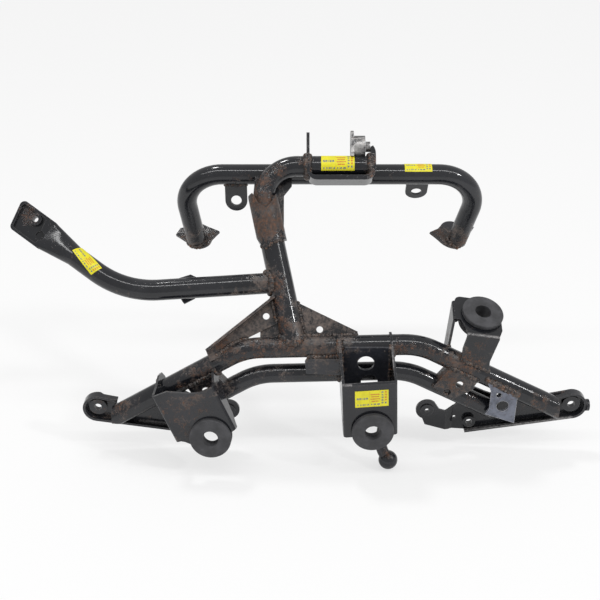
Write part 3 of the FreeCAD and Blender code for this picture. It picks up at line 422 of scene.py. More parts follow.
def rub_and_highlight_near(tree, position):
    """How close a point is to one of the pale strips along folds and flange tops, from 0 to 1; the strips are
    worn paint and a painted highlight.
    """
    near = []
    for start, end, width in RUB_AND_HIGHLIGHT_LINES:
        first = place(*start)
        run = place(*end) - first
        offset = vector_calc(tree, "SUBTRACT", position, first)
        reach = vector_calc(tree, "DOT_PRODUCT", offset, run / run.length_squared, "Value")
        held = node(tree, "ShaderNodeClamp", {"Value": reach}).outputs[0]
        step = scaled(tree, tuple(run), held)
        away = vector_calc(tree, "DISTANCE", offset, step, "Value")
        near.append(ramp(tree, away, RUB_AND_HIGHLIGHT_CORE * width * MM, width * MM, 1.0, 0.0))
    return largest(tree, near)


def worn_edge(tree, width):
    """Value that rises at sharp edges, from the difference between the bevelled and the true normal."""
    rounded = node(tree, "ShaderNodeBevel", {"Radius": width}, samples=EDGE_SAMPLES).outputs["Normal"]
    flat = node(tree, "ShaderNodeNewGeometry").outputs["Normal"]
    return ramp(tree, vector_calc(tree, "DOT_PRODUCT", rounded, flat, "Value"), *EDGE_RANGE)


def upward(tree):
    """How far a surface faces up, from -1 to 1."""
    normal = node(tree, "ShaderNodeNewGeometry").outputs["Normal"]
    return node(tree, "ShaderNodeSeparateXYZ", {0: normal}).outputs["Z"]


def finish(tree, shader, tone, gloss, depth, height):
    """Link a colour, a roughness and a bump, as its strength and depth and its height, to a shader."""
    bump = node(tree, "ShaderNodeBump", {"Strength": depth[0], "Distance": depth[1], "Height": height})
    tree.links.new(tone, shader.inputs["Base Color"])
    tree.links.new(gloss, shader.inputs["Roughness"])
    tree.links.new(bump.outputs["Normal"], shader.inputs["Normal"])


# Grain of the paint: features per metre, which for patches is a setting, detail, roughness and distortion
PATCHES = (9.0, 0.74, 0.5)
MOTTLE = (130.0, 8.0, 0.76, 0.4)
SPECKS = (420.0, 6.0, 0.78)
BROAD = (16.0, 3.0, 0.55)
FINE = (1400.0, 3.0, 0.6)
RUST_GRAIN = (340.0, 6.0, 0.80)

# Reach of zones and of the pale strips, which are worn paint and a painted highlight, as shares of their
# radius or width, and samples for worn edges
ZONE_CORE = 0.3
ZONE_REACH = 1.5
RUB_AND_HIGHLIGHT_CORE = 0.2
EDGE_SAMPLES = 4

# Where on its grain each layer of wear starts and is full, and how strong it is at each end
EDGE_RANGE = (0.995, 0.86, 0.0, 1.0)
FADE_RANGE = (0.42, 0.66)
UP_RANGE = (0.2, 1.0)
DUST_RANGE = (0.42, 0.62, 0.1, 0.6)
FILM_RANGE = (0.57, 0.70)
DIRT_TONES = (0.42, 0.60)
RUST_RANGE = (0.575, 0.70)
RUST_TONES = (0.42, 0.66)
EDGE_SPECKS = (0.36, 0.62, 0.1, 0.8)
# Specks that break up the pale strips, which are worn paint and a painted highlight
RUB_AND_HIGHLIGHT_SPECKS = (0.36, 0.60, 0.2, 1.0)

# Shares in which grains are added, for colour and then for height
FADE_SHARES = (0.35, 0.65)
FILM_SHARES = (0.4, 0.6)
EVEN_SHARES = (0.5, 0.5)
PIT_SHARES = (0.9, 0.08)
WAVE_SHARE = 0.5
FILM_HEIGHT = 0.5

# How much a zone of dirt or rust adds to its grain, the share of a look's bias that goes to rust, and how
# much of the colour below each layer covers
DIRT_PULL = 0.16
RUST_PULL = 0.15
RUST_BIAS_SHARE = 0.5
DUST_COVER = 0.10
FILM_COVER = 0.82
RUST_COVER = 0.88
EDGE_COVER = 0.4

# Roughness of sound paint, and what dirt and rust add
PAINT_ROUGHNESS = 0.115
FILM_ROUGHNESS = 0.32
RUST_ROUGHNESS = 0.32
PAINT_SPECULAR = 0.55


def worn_paint(name, rust_bias, lighter=1.0):
    """Glossy black paint with dull places, dirt, rust in patches and specks, worn edges, and pale strips
    along folds and flange tops that are worn paint and a painted highlight; a lighter copy of the black is
    painted light for a plate in shade.
    """
    paint = bpy.context.scene.stay_paint
    material, tree, shader, position = blank_material(name)
    patches = grain(tree, position, paint.patch_scale, *PATCHES)
    mottle = grain(tree, position, *MOTTLE)
    specks = grain(tree, position, *SPECKS)
    broad = grain(tree, position, *BROAD)
    fine = grain(tree, position, *FINE)

    fade = ramp(tree, blend(tree, specks, broad, FADE_SHARES), *FADE_RANGE)
    # The black and faded colours are made lighter for the centre back plate, as painted light for its shade;
    # the other paints keep them as written
    skin = mix(tree, fade, tuple(value * lighter for value in paint.black),
               tuple(value * lighter for value in paint.faded))
    dust = times(tree, ramp(tree, upward(tree), *UP_RANGE), ramp(tree, patches, *DUST_RANGE))
    skin = mix(tree, times(tree, dust, DUST_COVER), skin, tuple(paint.dust))

    film = plus_share(tree, zones_near(tree, position, DIRT_ZONES), DIRT_PULL,
                      blend(tree, patches, mottle, FILM_SHARES))
    film = ramp(tree, calc(tree, "ADD", film, rust_bias), *FILM_RANGE)
    dirt_tone = ramp(tree, blend(tree, specks, mottle, EVEN_SHARES), *DIRT_TONES)
    dirt = mix(tree, dirt_tone, tuple(paint.dark_dirt), tuple(paint.light_dirt))
    skin = mix(tree, times(tree, film, FILM_COVER), skin, dirt)

    rust = plus_share(tree, zones_near(tree, position, RUST_ZONES), RUST_PULL,
                      blend(tree, mottle, specks, EVEN_SHARES))
    rust = ramp(tree, calc(tree, "ADD", rust, rust_bias * RUST_BIAS_SHARE), *RUST_RANGE)
    rust_tone = ramp(tree, grain(tree, position, *RUST_GRAIN), *RUST_TONES)
    oxide = mix(tree, rust_tone, tuple(paint.dark_rust), tuple(paint.light_rust))
    skin = mix(tree, times(tree, rust, RUST_COVER), skin, oxide)

    edge = times(tree, worn_edge(tree, paint.edge_width), ramp(tree, specks, *EDGE_SPECKS))
    # Pale strips along the listed folds and flange tops: worn paint and a painted highlight where they face
    # the light from above
    rubbed_and_highlight = times(tree, rub_and_highlight_near(tree, position), ramp(tree, specks, *RUB_AND_HIGHLIGHT_SPECKS))
    skin = mix(tree, largest(tree, (times(tree, edge, EDGE_COVER), rubbed_and_highlight)), skin, tuple(paint.rubbed_and_highlight))

    gloss = plus_share(tree, film, FILM_ROUGHNESS, PAINT_ROUGHNESS)
    gloss = plus_share(tree, rust, RUST_ROUGHNESS, gloss)
    height = blend(tree, times(tree, rust, specks), fine, PIT_SHARES)
    height = plus_share(tree, broad, WAVE_SHARE, height)
    height = plus_share(tree, times(tree, film, mottle), FILM_HEIGHT, height)
    finish(tree, shader, skin, gloss, PAINT_BUMP, height)
    shader.inputs["Specular IOR Level"].default_value = PAINT_SPECULAR
    return material


# Other looks: grains as features per metre, detail and roughness, and ranges as where a layer starts and is
# full, with its strength at each end
STEEL_STRETCH = (1.0, 2.5, 1.0)
STEEL_CLOUDS = (90.0, 7.0, 0.74)
STEEL_SPECKS = (420.0, 5.0, 0.7)
STEEL_TONES = (0.36, 0.62)
STEEL_RUST = (0.56, 0.70, 0.0, 0.7)
STEEL_ROUGHNESS = (0.3, 0.7, 0.30, 0.58)
STEEL_EDGE = 0.8 * MM
SCALE_BROWN = (0.12, 0.065, 0.04)
SCUFFED_EDGE = (0.55, 0.55, 0.56)
BEAD_CLOUDS = (210.0, 5.0, 0.72)
BEAD_SPECKS = (900.0, 4.0, 0.7)
BEAD_HOLLOWS = 300.0
BEAD_TONES = (0.42, 0.64)
BEAD_RUST = (0.54, 0.66, 0.0, 0.8)
BEAD_BRIGHT = (0.58, 0.70, 0.0, 0.8)
BEAD_ROUGHNESS = (0.35, 0.65, 0.24, 0.5)
BEAD_SHINE = 0.3
BEAD_DARK = (0.026, 0.024, 0.025)
BEAD_LIGHT = (0.13, 0.10, 0.085)
BEAD_BROWN = (0.17, 0.075, 0.035)
BEAD_METAL = (0.48, 0.46, 0.44)
RUBBER_CLOUDS = (90.0, 5.0, 0.65)
RUBBER_GRAIN = (1600.0, 3.0, 0.6)
RUBBER_TONES = (0.35, 0.68)
RUBBER_ROUGHNESS = (0.52, 0.72)
RUBBER_DUST = 1.9
RUBBER_SPECULAR = 0.4

# Strength of each look's bumps and their depth
PAINT_BUMP = (0.5, 0.6 * MM)
STEEL_BUMP = (0.35, 0.4 * MM)
BEAD_BUMP = (0.5, 0.4 * MM)
RUBBER_BUMP = (0.25, 0.3 * MM)


def bare_steel(name, dark, light, shine):
    """Bare sheet steel with mottling and a little rust, from a dark and a light grey."""
    material, tree, shader, position = blank_material(name)
    stretched = vector_calc(tree, "MULTIPLY", position, STEEL_STRETCH)
    cloud = ramp(tree, grain(tree, stretched, *STEEL_CLOUDS), *STEEL_TONES)
    specks = grain(tree, position, *STEEL_SPECKS)
    tone = mix(tree, cloud, dark, light)
    tone = mix(tree, ramp(tree, specks, *STEEL_RUST), tone, SCALE_BROWN)
    tone = mix(tree, worn_edge(tree, STEEL_EDGE), tone, SCUFFED_EDGE)
    finish(tree, shader, tone, ramp(tree, specks, *STEEL_ROUGHNESS), STEEL_BUMP, specks)
    shader.inputs["Metallic"].default_value = shine
    return material


def weld_metal():
    """Painted bead with bright ripples and rusty hollows."""
    material, tree, shader, position = blank_material("weld_bead")
    specks = grain(tree, position, *BEAD_SPECKS)
    tone = mix(tree, ramp(tree, grain(tree, position, *BEAD_CLOUDS), *BEAD_TONES), BEAD_DARK, BEAD_LIGHT)
    tone = mix(tree, ramp(tree, grain(tree, position, BEAD_HOLLOWS), *BEAD_RUST), tone, BEAD_BROWN)
    tone = mix(tree, ramp(tree, specks, *BEAD_BRIGHT), tone, BEAD_METAL)
    finish(tree, shader, tone, ramp(tree, specks, *BEAD_ROUGHNESS), BEAD_BUMP, specks)
    shader.inputs["Metallic"].default_value = BEAD_SHINE
    return material


def grey_rubber():
    """Matt moulded rubber, a little dusty."""
    base = tuple(bpy.context.scene.stay_rubber.colour)
    pale = tuple(value * RUBBER_DUST for value in base)
    material, tree, shader, position = blank_material("grommet_rubber")
    cloud = grain(tree, position, *RUBBER_CLOUDS)
    tone = mix(tree, ramp(tree, cloud, *RUBBER_TONES), base, pale)
    finish(tree, shader, tone, ramp(tree, cloud, *RUBBER_TONES, *RUBBER_ROUGHNESS), RUBBER_BUMP,
           grain(tree, position, *RUBBER_GRAIN))
    shader.inputs["Specular IOR Level"].default_value = RUBBER_SPECULAR
    return material


# Inks by the names of their settings, how much paper they cover, how bars break up, and the paper's look
DARK = "dark_ink"
RED = "red_ink"
INK_COVER = 0.92
BAR_BREAKS = (90.0, 8.0, 1.0)
BREAK_RANGE = (0.36, 0.46)
PAPER_GRAIN = 160.0
PAPER_TONES = (0.35, 0.7)
PAPER_SHADE = 0.86
PAPER_ROUGHNESS = 0.42


def bars(spans, heights):
    """Bars as left, right, low, high, for every span at every height."""
    return [(*span, *height) for span in spans for height in heights]


# Bars of each ink as shares of a sticker's length and height
COLUMN_STEPS = ((0.82, 0.92), (0.66, 0.76), (0.50, 0.60), (0.34, 0.44))
STICKER_BARS = {
    DARK: (bars(((0.05, 0.11), (0.12, 0.18), (0.20, 0.22), (0.25, 0.31), (0.33, 0.39)), ((0.46, 0.58),))
           + bars(((0.06, 0.10), (0.15, 0.19), (0.22, 0.28), (0.30, 0.33), (0.36, 0.42), (0.48, 0.51),
                   (0.55, 0.62), (0.65, 0.74)), ((0.10, 0.19),))
           + bars(((0.79, 0.85),), (*COLUMN_STEPS, (0.16, 0.27))) + [(0.89, 0.95, 0.16, 0.27)]),
    RED: (bars(((0.89, 0.95),), COLUMN_STEPS)
          + [(0.46, 0.73, 0.72, 0.79), (0.48, 0.71, 0.58, 0.65), (0.46, 0.74, 0.44, 0.51),
             (0.49, 0.70, 0.30, 0.37), (0.434, 0.440, 0.14, 0.94)]),
}


def sticker_paper():
    """Yellow paper with faint bars in place of print."""
    look = bpy.context.scene.stay_sticker
    material, tree, shader, position = blank_material("sticker_paper")
    spread = node(tree, "ShaderNodeUVMap", uv_map="UVMap").outputs["UV"]
    axes = node(tree, "ShaderNodeSeparateXYZ", {0: spread})
    breaks = grain(tree, vector_calc(tree, "MULTIPLY", spread, BAR_BREAKS), 1.0, 1.0)
    breaks = ramp(tree, breaks, *BREAK_RANGE)
    tone = mix(tree, ramp(tree, grain(tree, position, PAPER_GRAIN), *PAPER_TONES), tuple(look.paper),
               tuple(value * PAPER_SHADE for value in look.paper))
    for ink, places in STICKER_BARS.items():
        inked = []
        for left, right, low, high in places:
            across = calc(tree, "COMPARE", axes.outputs["X"], (left + right) / 2, (right - left) / 2)
            down = calc(tree, "COMPARE", axes.outputs["Y"], (low + high) / 2, (high - low) / 2)
            inked.append(times(tree, across, down))
        share = times(tree, times(tree, largest(tree, inked), breaks), INK_COVER)
        tone = mix(tree, share, tone, tuple(getattr(look, ink)))
    tree.links.new(tone, shader.inputs["Base Color"])
    shader.inputs["Roughness"].default_value = PAPER_ROUGHNESS
    return material


# Mesh building

def linked(name, data):
    """New object in the scene."""
    made = bpy.data.objects.new(name, data)
    bpy.context.scene.collection.objects.link(made)
    return made


def new_piece(name, mesh, material):
    """Link a finished mesh as a piece that rides on the stay."""
    piece = linked(name, mesh)
    mesh.materials.clear()
    mesh.materials.append(material)
    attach(piece, BODY)
    return piece


def surface_of(name):
    """Search tree of one CAD node's surface."""
    mesh = frame["nodes"][name].data
    return BVHTree.FromPolygons([vertex.co.copy() for vertex in mesh.vertices],
                                [tuple(face.vertices) for face in mesh.polygons])


def resampled(points, spacing):
    """Points of a polyline at even spacing."""
    result = [points[0].copy()]
    for start, end in zip(points, points[1:]):
        steps = max(1, round((end - start).length / spacing))
        for step in range(1, steps + 1):
            result.append(start.lerp(end, step / steps))
    return result


def seam_between(first, second, guesses, reach):
    """Line where two CAD nodes meet, found near a guessed line by turns on one surface and the other."""
    surfaces = (surface_of(first), surface_of(second))
    line = []
    for point in resampled([place(*guess) for guess in guesses], SEAM_SPACING):
        for _turn in range(SEAM_TURNS):
            for surface in surfaces:
                point = surface.find_nearest(point)[0]
        facing = surfaces[0].find_nearest(point)[0]
        gap = (facing - point).length
        point = point.lerp(facing, 0.5)
        if gap < reach and (not line or (point - line[-1]).length > SEAM_SPACING * SEAM_THINNING):
            line.append(point)
    return line


def weld_runs():
    """Every weld: the two nodes it joins, a rough line of it and, where not plain, its size and reach."""
    return [
        ("mast_tube", "cross_tube", ring(leaning(-39.5, 10), MAST_AXIS, MAST_R), 1.4),
        ("side_arm_tube", "mast_tube", ring(leaning(-61, 57.5), SIDE_ARM_AXIS, ARM_R), 1.5),
        ("mast_collar", "mast_tube", leaned((-67, 90, -6), (-63, 88.5, -12), (-55, 94.5, -12),
                                            (-45, 97, -7))),
        ("mast_collar", "top_arm_tube", leaned((-46, 122, -7), (-53, 141, -12), (-57, 132, -12),
                                               (-63, 124, -12), (-70, 129, -8))),
        *[("left_mast_gusset", "mast_tube", leaned((-58.5, 44, face), (-54, 23, face)))
          for face in GUSSET_FACES],
        *[("right_mast_gusset", "mast_tube", leaned((-34.6, 40, face), (-28.6, 12, face)))
          for face in GUSSET_FACES],
        ("right_mast_gusset", "cross_tube", leaned((-26, 9.7, -2), (19, 9.7, -2))),
        ("left_mast_gusset", "cross_tube", leaned((-110, -8, -2), (-92, 2, -2), (-80, 8, -2))),
        ("mast_rear_plate", "cross_tube", leaned((-66, 9.5, 4), (-48, 9.5, 4))),
        ("hoop_gusset", "top_arm_tube", leaned((-47, 130, 8), (-42, 147, 8), (-36, 153, 8))),
        ("hoop_gusset", "mast_tube", leaned((-47, 112, 9), (-47, 118, 9))),
        *[("head_bracket", "top_arm_tube", ring(leaning(x, ARM_HEIGHT), ACROSS, ARM_R, start, 120), size)
          for x, start, size in ((-27, -70, 1.4), (-23, -70, PLAIN_BEAD), (31, -60, 1.4))],
        ("left_hoop_tab", "hoop_tube", [(x, HOOP_Y - 2, HOOP_Z - 10) for x in (-103.5, -82.5)]),
        ("right_hoop_tab", "hoop_tube", [(x, HOOP_Y - 7, HOOP_Z - 8) for x in (69, 90)]),
        ("left_hoop_foot", "hoop_tube", ring(LEFT_FOOT, LEFT_LEG, ARM_R)),
        ("right_hoop_foot", "hoop_tube", ring(RIGHT_FOOT, RIGHT_LEG, ARM_R)),
        ("centre_back_plate", "cross_tube", [(8.5, -11, 6.5), (46, -11, 7)]),
        ("centre_back_plate", "lower_tube", [(-26, -9.5, -22), (6, -9.5, -24)]),
        ("centre_back_plate", "cross_tube", [(-25, -10, -6), (6, -10, -6)], 1.1, 4.0),
        ("centre_back_plate", "centre_bracket", [(48, -12, 2), (48, -12, -44)], 1.1, 4.0),
        ("centre_back_plate", "centre_bracket", [(8, -13, 2), (8, -13, -45)], 0.9, 3.0),
        *[("centre_bracket", "cross_tube", ring((x, 0, z), ACROSS, CROSS_R, -50, end))
          for x, z, end in ((1.0, 0, 60), (4.6, 0, 60), (48.4, 1, 28), (51.2, 1, 28))],
        *[("centre_bracket", "lower_tube", ring((x, LOWER_TUBE_Y, LOWER_TUBE_Z), ACROSS, LOWER_R, -60, 60))
          for x in (2.0, 52.0)],
        *[("left_grommet_bracket", "cross_tube", ring(centre, LEFT_WING_AXIS, CROSS_R, -100, 100))
          for centre in ((-159, 0, -48), (-109, 0, -18))],
        ("right_grommet_bracket", "cross_tube", [(112.5, -9, -8.6), (138.4, -9, -22)]),
        ("right_grommet_bracket", "cross_tube", [(101, -3, -3), (102, 4, -3), (103, 10, -8)]),
        ("clip_plate", "cross_tube", [(137, -10, -30), (166, -10, -45.5)], 1.6),
        ("right_tie_gusset", "cross_tube", [(103.3, -10, -17.3), (129, -10, -30.7)]),
        ("right_tie_gusset", "lower_tube", [(105.2, -10, -51.5), (88.7, -10, -36.7)]),
        ("left_tie_gusset", "cross_tube", [(-110.1, -10, -23.1), (-134.9, -10, -38.1)]),
        ("left_tie_gusset", "lower_tube", [(-109.9, -10, -57.4), (-94.3, -10, -41.7)]),
        ("left_side_plate", "cross_tube", [(-207, 9, -68), (-207, 9, -86)]),
        ("right_side_plate", "cross_tube", [(208, 9, -58), (208, 9, -76)]),
        ("ball_stud", "centre_back_plate", [(29, -11, -46), (41, -11, -46)]),
    ]


# Sizes between which ripples vary, as shares of a bead's, and how finely a ripple is made
LEAST_RIPPLE = 0.78
LARGEST_RIPPLE = 1.16
RIPPLE_SUBDIVISIONS = 2


def weld_tree():
    """Geometry nodes that lay ripples along seam lines."""
    tree = bpy.data.node_groups.new("weld ripples", "GeometryNodeTree")
    face = tree.interface
    face.new_socket("Seams", in_out="INPUT", socket_type="NodeSocketGeometry")
    for name in ("Step", "Radius", "Ripple length", "Wander"):
        face.new_socket(name, in_out="INPUT", socket_type="NodeSocketFloat")
    face.new_socket("Seed", in_out="INPUT", socket_type="NodeSocketInt")
    face.new_socket("Material", in_out="INPUT", socket_type="NodeSocketMaterial")
    face.new_socket("Beads", in_out="OUTPUT", socket_type="NodeSocketGeometry")
    given = tree.nodes.new("NodeGroupInput").outputs
    curve = node(tree, "GeometryNodeMeshToCurve", {"Mesh": given["Seams"]})
    points = node(tree, "GeometryNodeCurveToPoints", {"Curve": curve.outputs[0], "Length": given["Step"]},
                  mode="LENGTH")
    low = scaled(tree, (-1.0, -1.0, -1.0), given["Wander"])
    high = scaled(tree, (1.0, 1.0, 1.0), given["Wander"])
    stray = node(tree, "FunctionNodeRandomValue", {0: low, 1: high, "Seed": given["Seed"]},
                 data_type="FLOAT_VECTOR")
    strayed = node(tree, "GeometryNodeSetPosition", {"Geometry": points.outputs["Points"],
                                                     "Offset": stray.outputs[0]})
    size = node(tree, "FunctionNodeRandomValue", {2: LEAST_RIPPLE, 3: LARGEST_RIPPLE, "Seed": given["Seed"]},
                data_type="FLOAT")
    own = node(tree, "GeometryNodeInputNamedAttribute", {"Name": "size"}, data_type="FLOAT").outputs[0]
    wide = times(tree, times(tree, given["Radius"], size.outputs[1]), own)
    long = times(tree, wide, given["Ripple length"])
    scale = node(tree, "ShaderNodeCombineXYZ", {"X": wide, "Y": wide, "Z": long})
    ripple = node(tree, "GeometryNodeMeshIcoSphere", {"Radius": 1.0, "Subdivisions": RIPPLE_SUBDIVISIONS})
    laid = node(tree, "GeometryNodeInstanceOnPoints", {
        "Points": strayed.outputs[0], "Instance": ripple.outputs["Mesh"],
        "Rotation": points.outputs["Rotation"], "Scale": scale.outputs[0]})
    real = node(tree, "GeometryNodeRealizeInstances", {"Geometry": laid.outputs[0]})
    smooth = node(tree, "GeometryNodeSetShadeSmooth", {"Geometry": real.outputs[0]})
    coated = node(tree, "GeometryNodeSetMaterial", {"Geometry": smooth.outputs[0],
                                                    "Material": given["Material"]})
    result = tree.nodes.new("NodeGroupOutput")
    tree.links.new(coated.outputs[0], result.inputs[0])
    return tree


def settle(piece, modifier):
    """Keep what a modifier makes of a piece as its plain mesh, and remove the modifier."""
    bpy.context.view_layer.update()
    graph = bpy.context.evaluated_depsgraph_get()
    mesh = bpy.data.meshes.new_from_object(piece.evaluated_get(graph))
    piece.modifiers.remove(modifier)
    piece.data = mesh


def bake_tree(piece, tree, values):
    """Run a geometry tree on an object and keep its result as a plain mesh."""
    modifier = piece.modifiers.new("nodes", "NODES")
    modifier.node_group = tree
    for item in tree.interface.items_tree:
        if item.item_type == "SOCKET" and item.in_out == "INPUT" and item.name in values:
            modifier[item.identifier] = values[item.name]
    settle(piece, modifier)


def closed_mesh(shape, name, smooth=False):
    """Mesh of a closed shape with its normals outwards; the shape is used up."""
    bmesh.ops.recalc_face_normals(shape, faces=shape.faces)
    mesh = bpy.data.meshes.new(name)
    shape.to_mesh(mesh)
    shape.free()
    if smooth:
        mesh.polygons.foreach_set("use_smooth", [True] * len(mesh.polygons))
    return mesh


def join_rows(shape, row, after):
    """Join two closed rows of vertices with a band of faces."""
    for i in range(len(row)):
        j = (i + 1) % len(row)
        shape.faces.new((row[i], row[j], after[j], after[i]))


# Roundings of a grommet's bore and of its inner rims, as shares of the outer rims' rounding, and the steps
# of all three
LIP_SHARE = 0.6
INNER_SHARE = 0.5
LIP_STEPS = 5
INNER_STEPS = 4
RIM_STEPS = 6


def arc_points(centre, radius, start, end, steps):
    """Points of an arc in a plane of two axes."""
    turns = [math.radians(start + (end - start) * step / steps) for step in range(steps + 1)]
    return [(centre[0] + radius * math.cos(turn), centre[1] + radius * math.sin(turn)) for turn in turns]


def grommet_section(rubber, foot):
    """Closed half section of a grommet as (radius, depth) pairs; the lower flange is thicker by foot."""
    half_sheet = rubber.sheet / 2
    total = half_sheet + rubber.flange
    r = rubber.rounding
    lip = r * LIP_SHARE
    inner = r * INNER_SHARE
    outer = rubber.outer_r
    bore = rubber.bore_r
    return [*arc_points((bore + lip, -total - foot + lip), lip, 180, 270, LIP_STEPS),
            *arc_points((outer - r, -total - foot + r), r, 270, 360, RIM_STEPS),
            *arc_points((outer - inner, -half_sheet - inner), inner, 0, 90, INNER_STEPS),
            (rubber.neck_r, -half_sheet), (rubber.neck_r, half_sheet),
            *arc_points((outer - inner, half_sheet + inner), inner, 270, 360, INNER_STEPS),
            *arc_points((outer - r, total - r), r, 0, 90, RIM_STEPS),
            *arc_points((bore + lip, total - lip), lip, 90, 180, LIP_STEPS)]


def turned(section, centre, axis, segments):
    """Mesh of a closed section turned about an axis, with its normals outwards."""
    shape = bmesh.new()
    along = Vector(axis).normalized()
    side = along.orthogonal().normalized()
    other = along.cross(side)
    rows = []
    for step in range(segments):
        out = turned_to(side, other, 2 * math.pi * step / segments)
        rows.append([shape.verts.new(Vector(centre) + out * r + along * depth) for r, depth in section])
    for row, after in zip(rows, rows[1:] + rows[:1]):
        join_rows(shape, row, after)
    return closed_mesh(shape, "turned", True)


def prism(name, outline, near, far):
    """Closed mesh of an (x, z) outline between two depths."""
    shape = bmesh.new()
    rows = [[shape.verts.new(place(x, depth, z)) for x, z in outline] for depth in (near, far)]
    join_rows(shape, *rows)
    for row in rows:
        shape.faces.new(row)
    return closed_mesh(shape, name)


def rounded_path(path):
    """Smooth curve through (x, y, z, radius) points."""
    spine = [Vector(point) for point in path]
    curve = []
    for i in range(len(spine) - 1):
        before = spine[max(i - 1, 0)]
        after = spine[min(i + 2, len(spine) - 1)]
        for step in range(ROD_STEPS):
            t = step / ROD_STEPS
            curve.append(0.5 * (2 * spine[i] + (spine[i + 1] - before) * t
                                + (2 * before - 5 * spine[i] + 4 * spine[i + 1] - after) * t ** 2
                                + (3 * spine[i] - before - 3 * spine[i + 1] + after) * t ** 3))
    return [*curve, spine[-1]]


def add_rod(shape, path):
    """Add a closed round rod along (x, y, z, radius) points in millimetres, rounded where it bends."""
    curve = rounded_path(path)
    rows = []
    for i, point in enumerate(curve):
        along = (curve[min(i + 1, len(curve) - 1)] - curve[max(i - 1, 0)]).to_3d().normalized()
        side = along.cross(Vector((0, 1, 0))).normalized()
        other = along.cross(side)
        spokes = [turned_to(side, other, 2 * math.pi * k / ROD_SEGMENTS) for k in range(ROD_SEGMENTS)]
        rows.append([shape.verts.new(place(*(point.to_3d() + out * point.w))) for out in spokes])
    for row, after in zip(rows, rows[1:]):
        join_rows(shape, row, after)
    shape.faces.new(rows[0])
    shape.faces.new(list(reversed(rows[-1])))


def sticker_mesh(corner_rows, thickness):
    """Thin closed sheet from rows of (underside point, outward normal), with a UV map."""
    shape = bmesh.new()
    spread = shape.loops.layers.uv.new("UVMap")
    rows = len(corner_rows)
    columns = len(corner_rows[0])
    low = [[shape.verts.new(point) for point, _normal in row] for row in corner_rows]
    high = [[shape.verts.new(point + normal * thickness) for point, normal in row] for row in corner_rows]

    def face(corners, cells):
        made = shape.faces.new(corners)
        for loop, (i, j) in zip(made.loops, cells):
            loop[spread].uv = (j / (columns - 1), i / (rows - 1))

    for i in range(rows - 1):
        for j in range(columns - 1):
            cells = [(i, j), (i, j + 1), (i + 1, j + 1), (i + 1, j)]
            face([high[a][b] for a, b in cells], cells)
            face([low[a][b] for a, b in reversed(cells)], list(reversed(cells)))
    border = [(0, j) for j in range(columns)] + [(i, columns - 1) for i in range(1, rows)]
    border += [(rows - 1, j) for j in range(columns - 2, -1, -1)] + [(i, 0) for i in range(rows - 2, 0, -1)]
    for first, second in zip(border, border[1:] + border[:1]):
        corners = [low[first[0]][first[1]], low[second[0]][second[1]], high[second[0]][second[1]],
                   high[first[0]][first[1]]]
        face(corners, (first, second, second, first))
    return closed_mesh(shape, "sticker")


def tube_sticker(start, end, radius, low_angle, high_angle, twist=0.0, slide=0.0):
    """Rows of a sticker wrapped on a straight tube, from one angle to another round it; a slanted one
    twists round the tube along its length and slides along the tube over its height."""
    look = bpy.context.scene.stay_sticker
    along = (Vector(end) - Vector(start)).normalized()
    front, top = across_axis(along, STICKER_VIEW)
    rows = []
    for i in range(STICKER_ROWS + 1):
        row = []
        for j in range(STICKER_COLUMNS + 1):
            turn = low_angle + (high_angle - low_angle) * i / STICKER_ROWS + twist * j / STICKER_COLUMNS
            out = turned_to(front, top, math.radians(turn))
            centre = Vector(start).lerp(Vector(end), j / STICKER_COLUMNS)
            centre += along * (slide * i / STICKER_ROWS)
            row.append((place(*(centre + out * radius)) + out * look.lift, out))
        rows.append(row)
    return rows


def flat_sticker(corner, right, up, normal):
    """Rows of a flat sticker from its lower left corner and its two sides."""
    look = bpy.context.scene.stay_sticker
    out = Vector(normal).normalized()
    return [[(place(*(Vector(corner) + Vector(right) * j + Vector(up) * i)) + out * look.lift, out)
             for j in range(2)] for i in range(2)]


# Operators

class STAY_OT_paint_steel(bpy.types.Operator):
    """Give the painted and bare steel nodes their finishes."""

    bl_idname = "stay.paint_steel"
    bl_label = "Paint the steel"

    def execute(self, context):
        finishes = {kind: worn_paint(*values) for kind, values in PAINTS.items()}
        finishes.update({kind: bare_steel(*values) for kind, values in STEELS.items()})
        for name, item in frame["nodes"].items():
            if name in RUBBER_NODES:
                continue
            kind = FINISH_OF.get(name, "plain")
            item.data.materials.clear()
            item.data.materials.append(finishes[kind])
        return {"FINISHED"}


class STAY_OT_lay_welds(bpy.types.Operator):
    """Lay a rippled weld bead along every seam of the weldment."""

    bl_idname = "stay.lay_welds"
    bl_label = "Lay the weld beads"

    def execute(self, context):
        welds = context.scene.stay_welds
        vertices = []
        edges = []
        sizes = []
        for first, second, guesses, *own in weld_runs():
            size = own[0] if own else PLAIN_BEAD
            reach = own[1] * MM if len(own) > 1 else SEAM_MAX_GAP
            line = seam_between(first, second, guesses, reach)
            start = len(vertices)
            vertices += line
            sizes += [size] * len(line)
            edges += [(start + i, start + i + 1) for i in range(len(line) - 1)]
        mesh = bpy.data.meshes.new("weld seams")
        mesh.from_pydata(vertices, edges, [])
        mesh.attributes.new("size", "FLOAT", "POINT").data.foreach_set("value", sizes)
        piece = linked("weld_beads", mesh)
        values = {"Step": welds.step, "Radius": welds.radius, "Ripple length": welds.ripple,
                  "Wander": welds.wander, "Seed": welds.seed, "Material": weld_metal()}
        bake_tree(piece, weld_tree(), values)
        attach(piece, BODY)
        return {"FINISHED"}


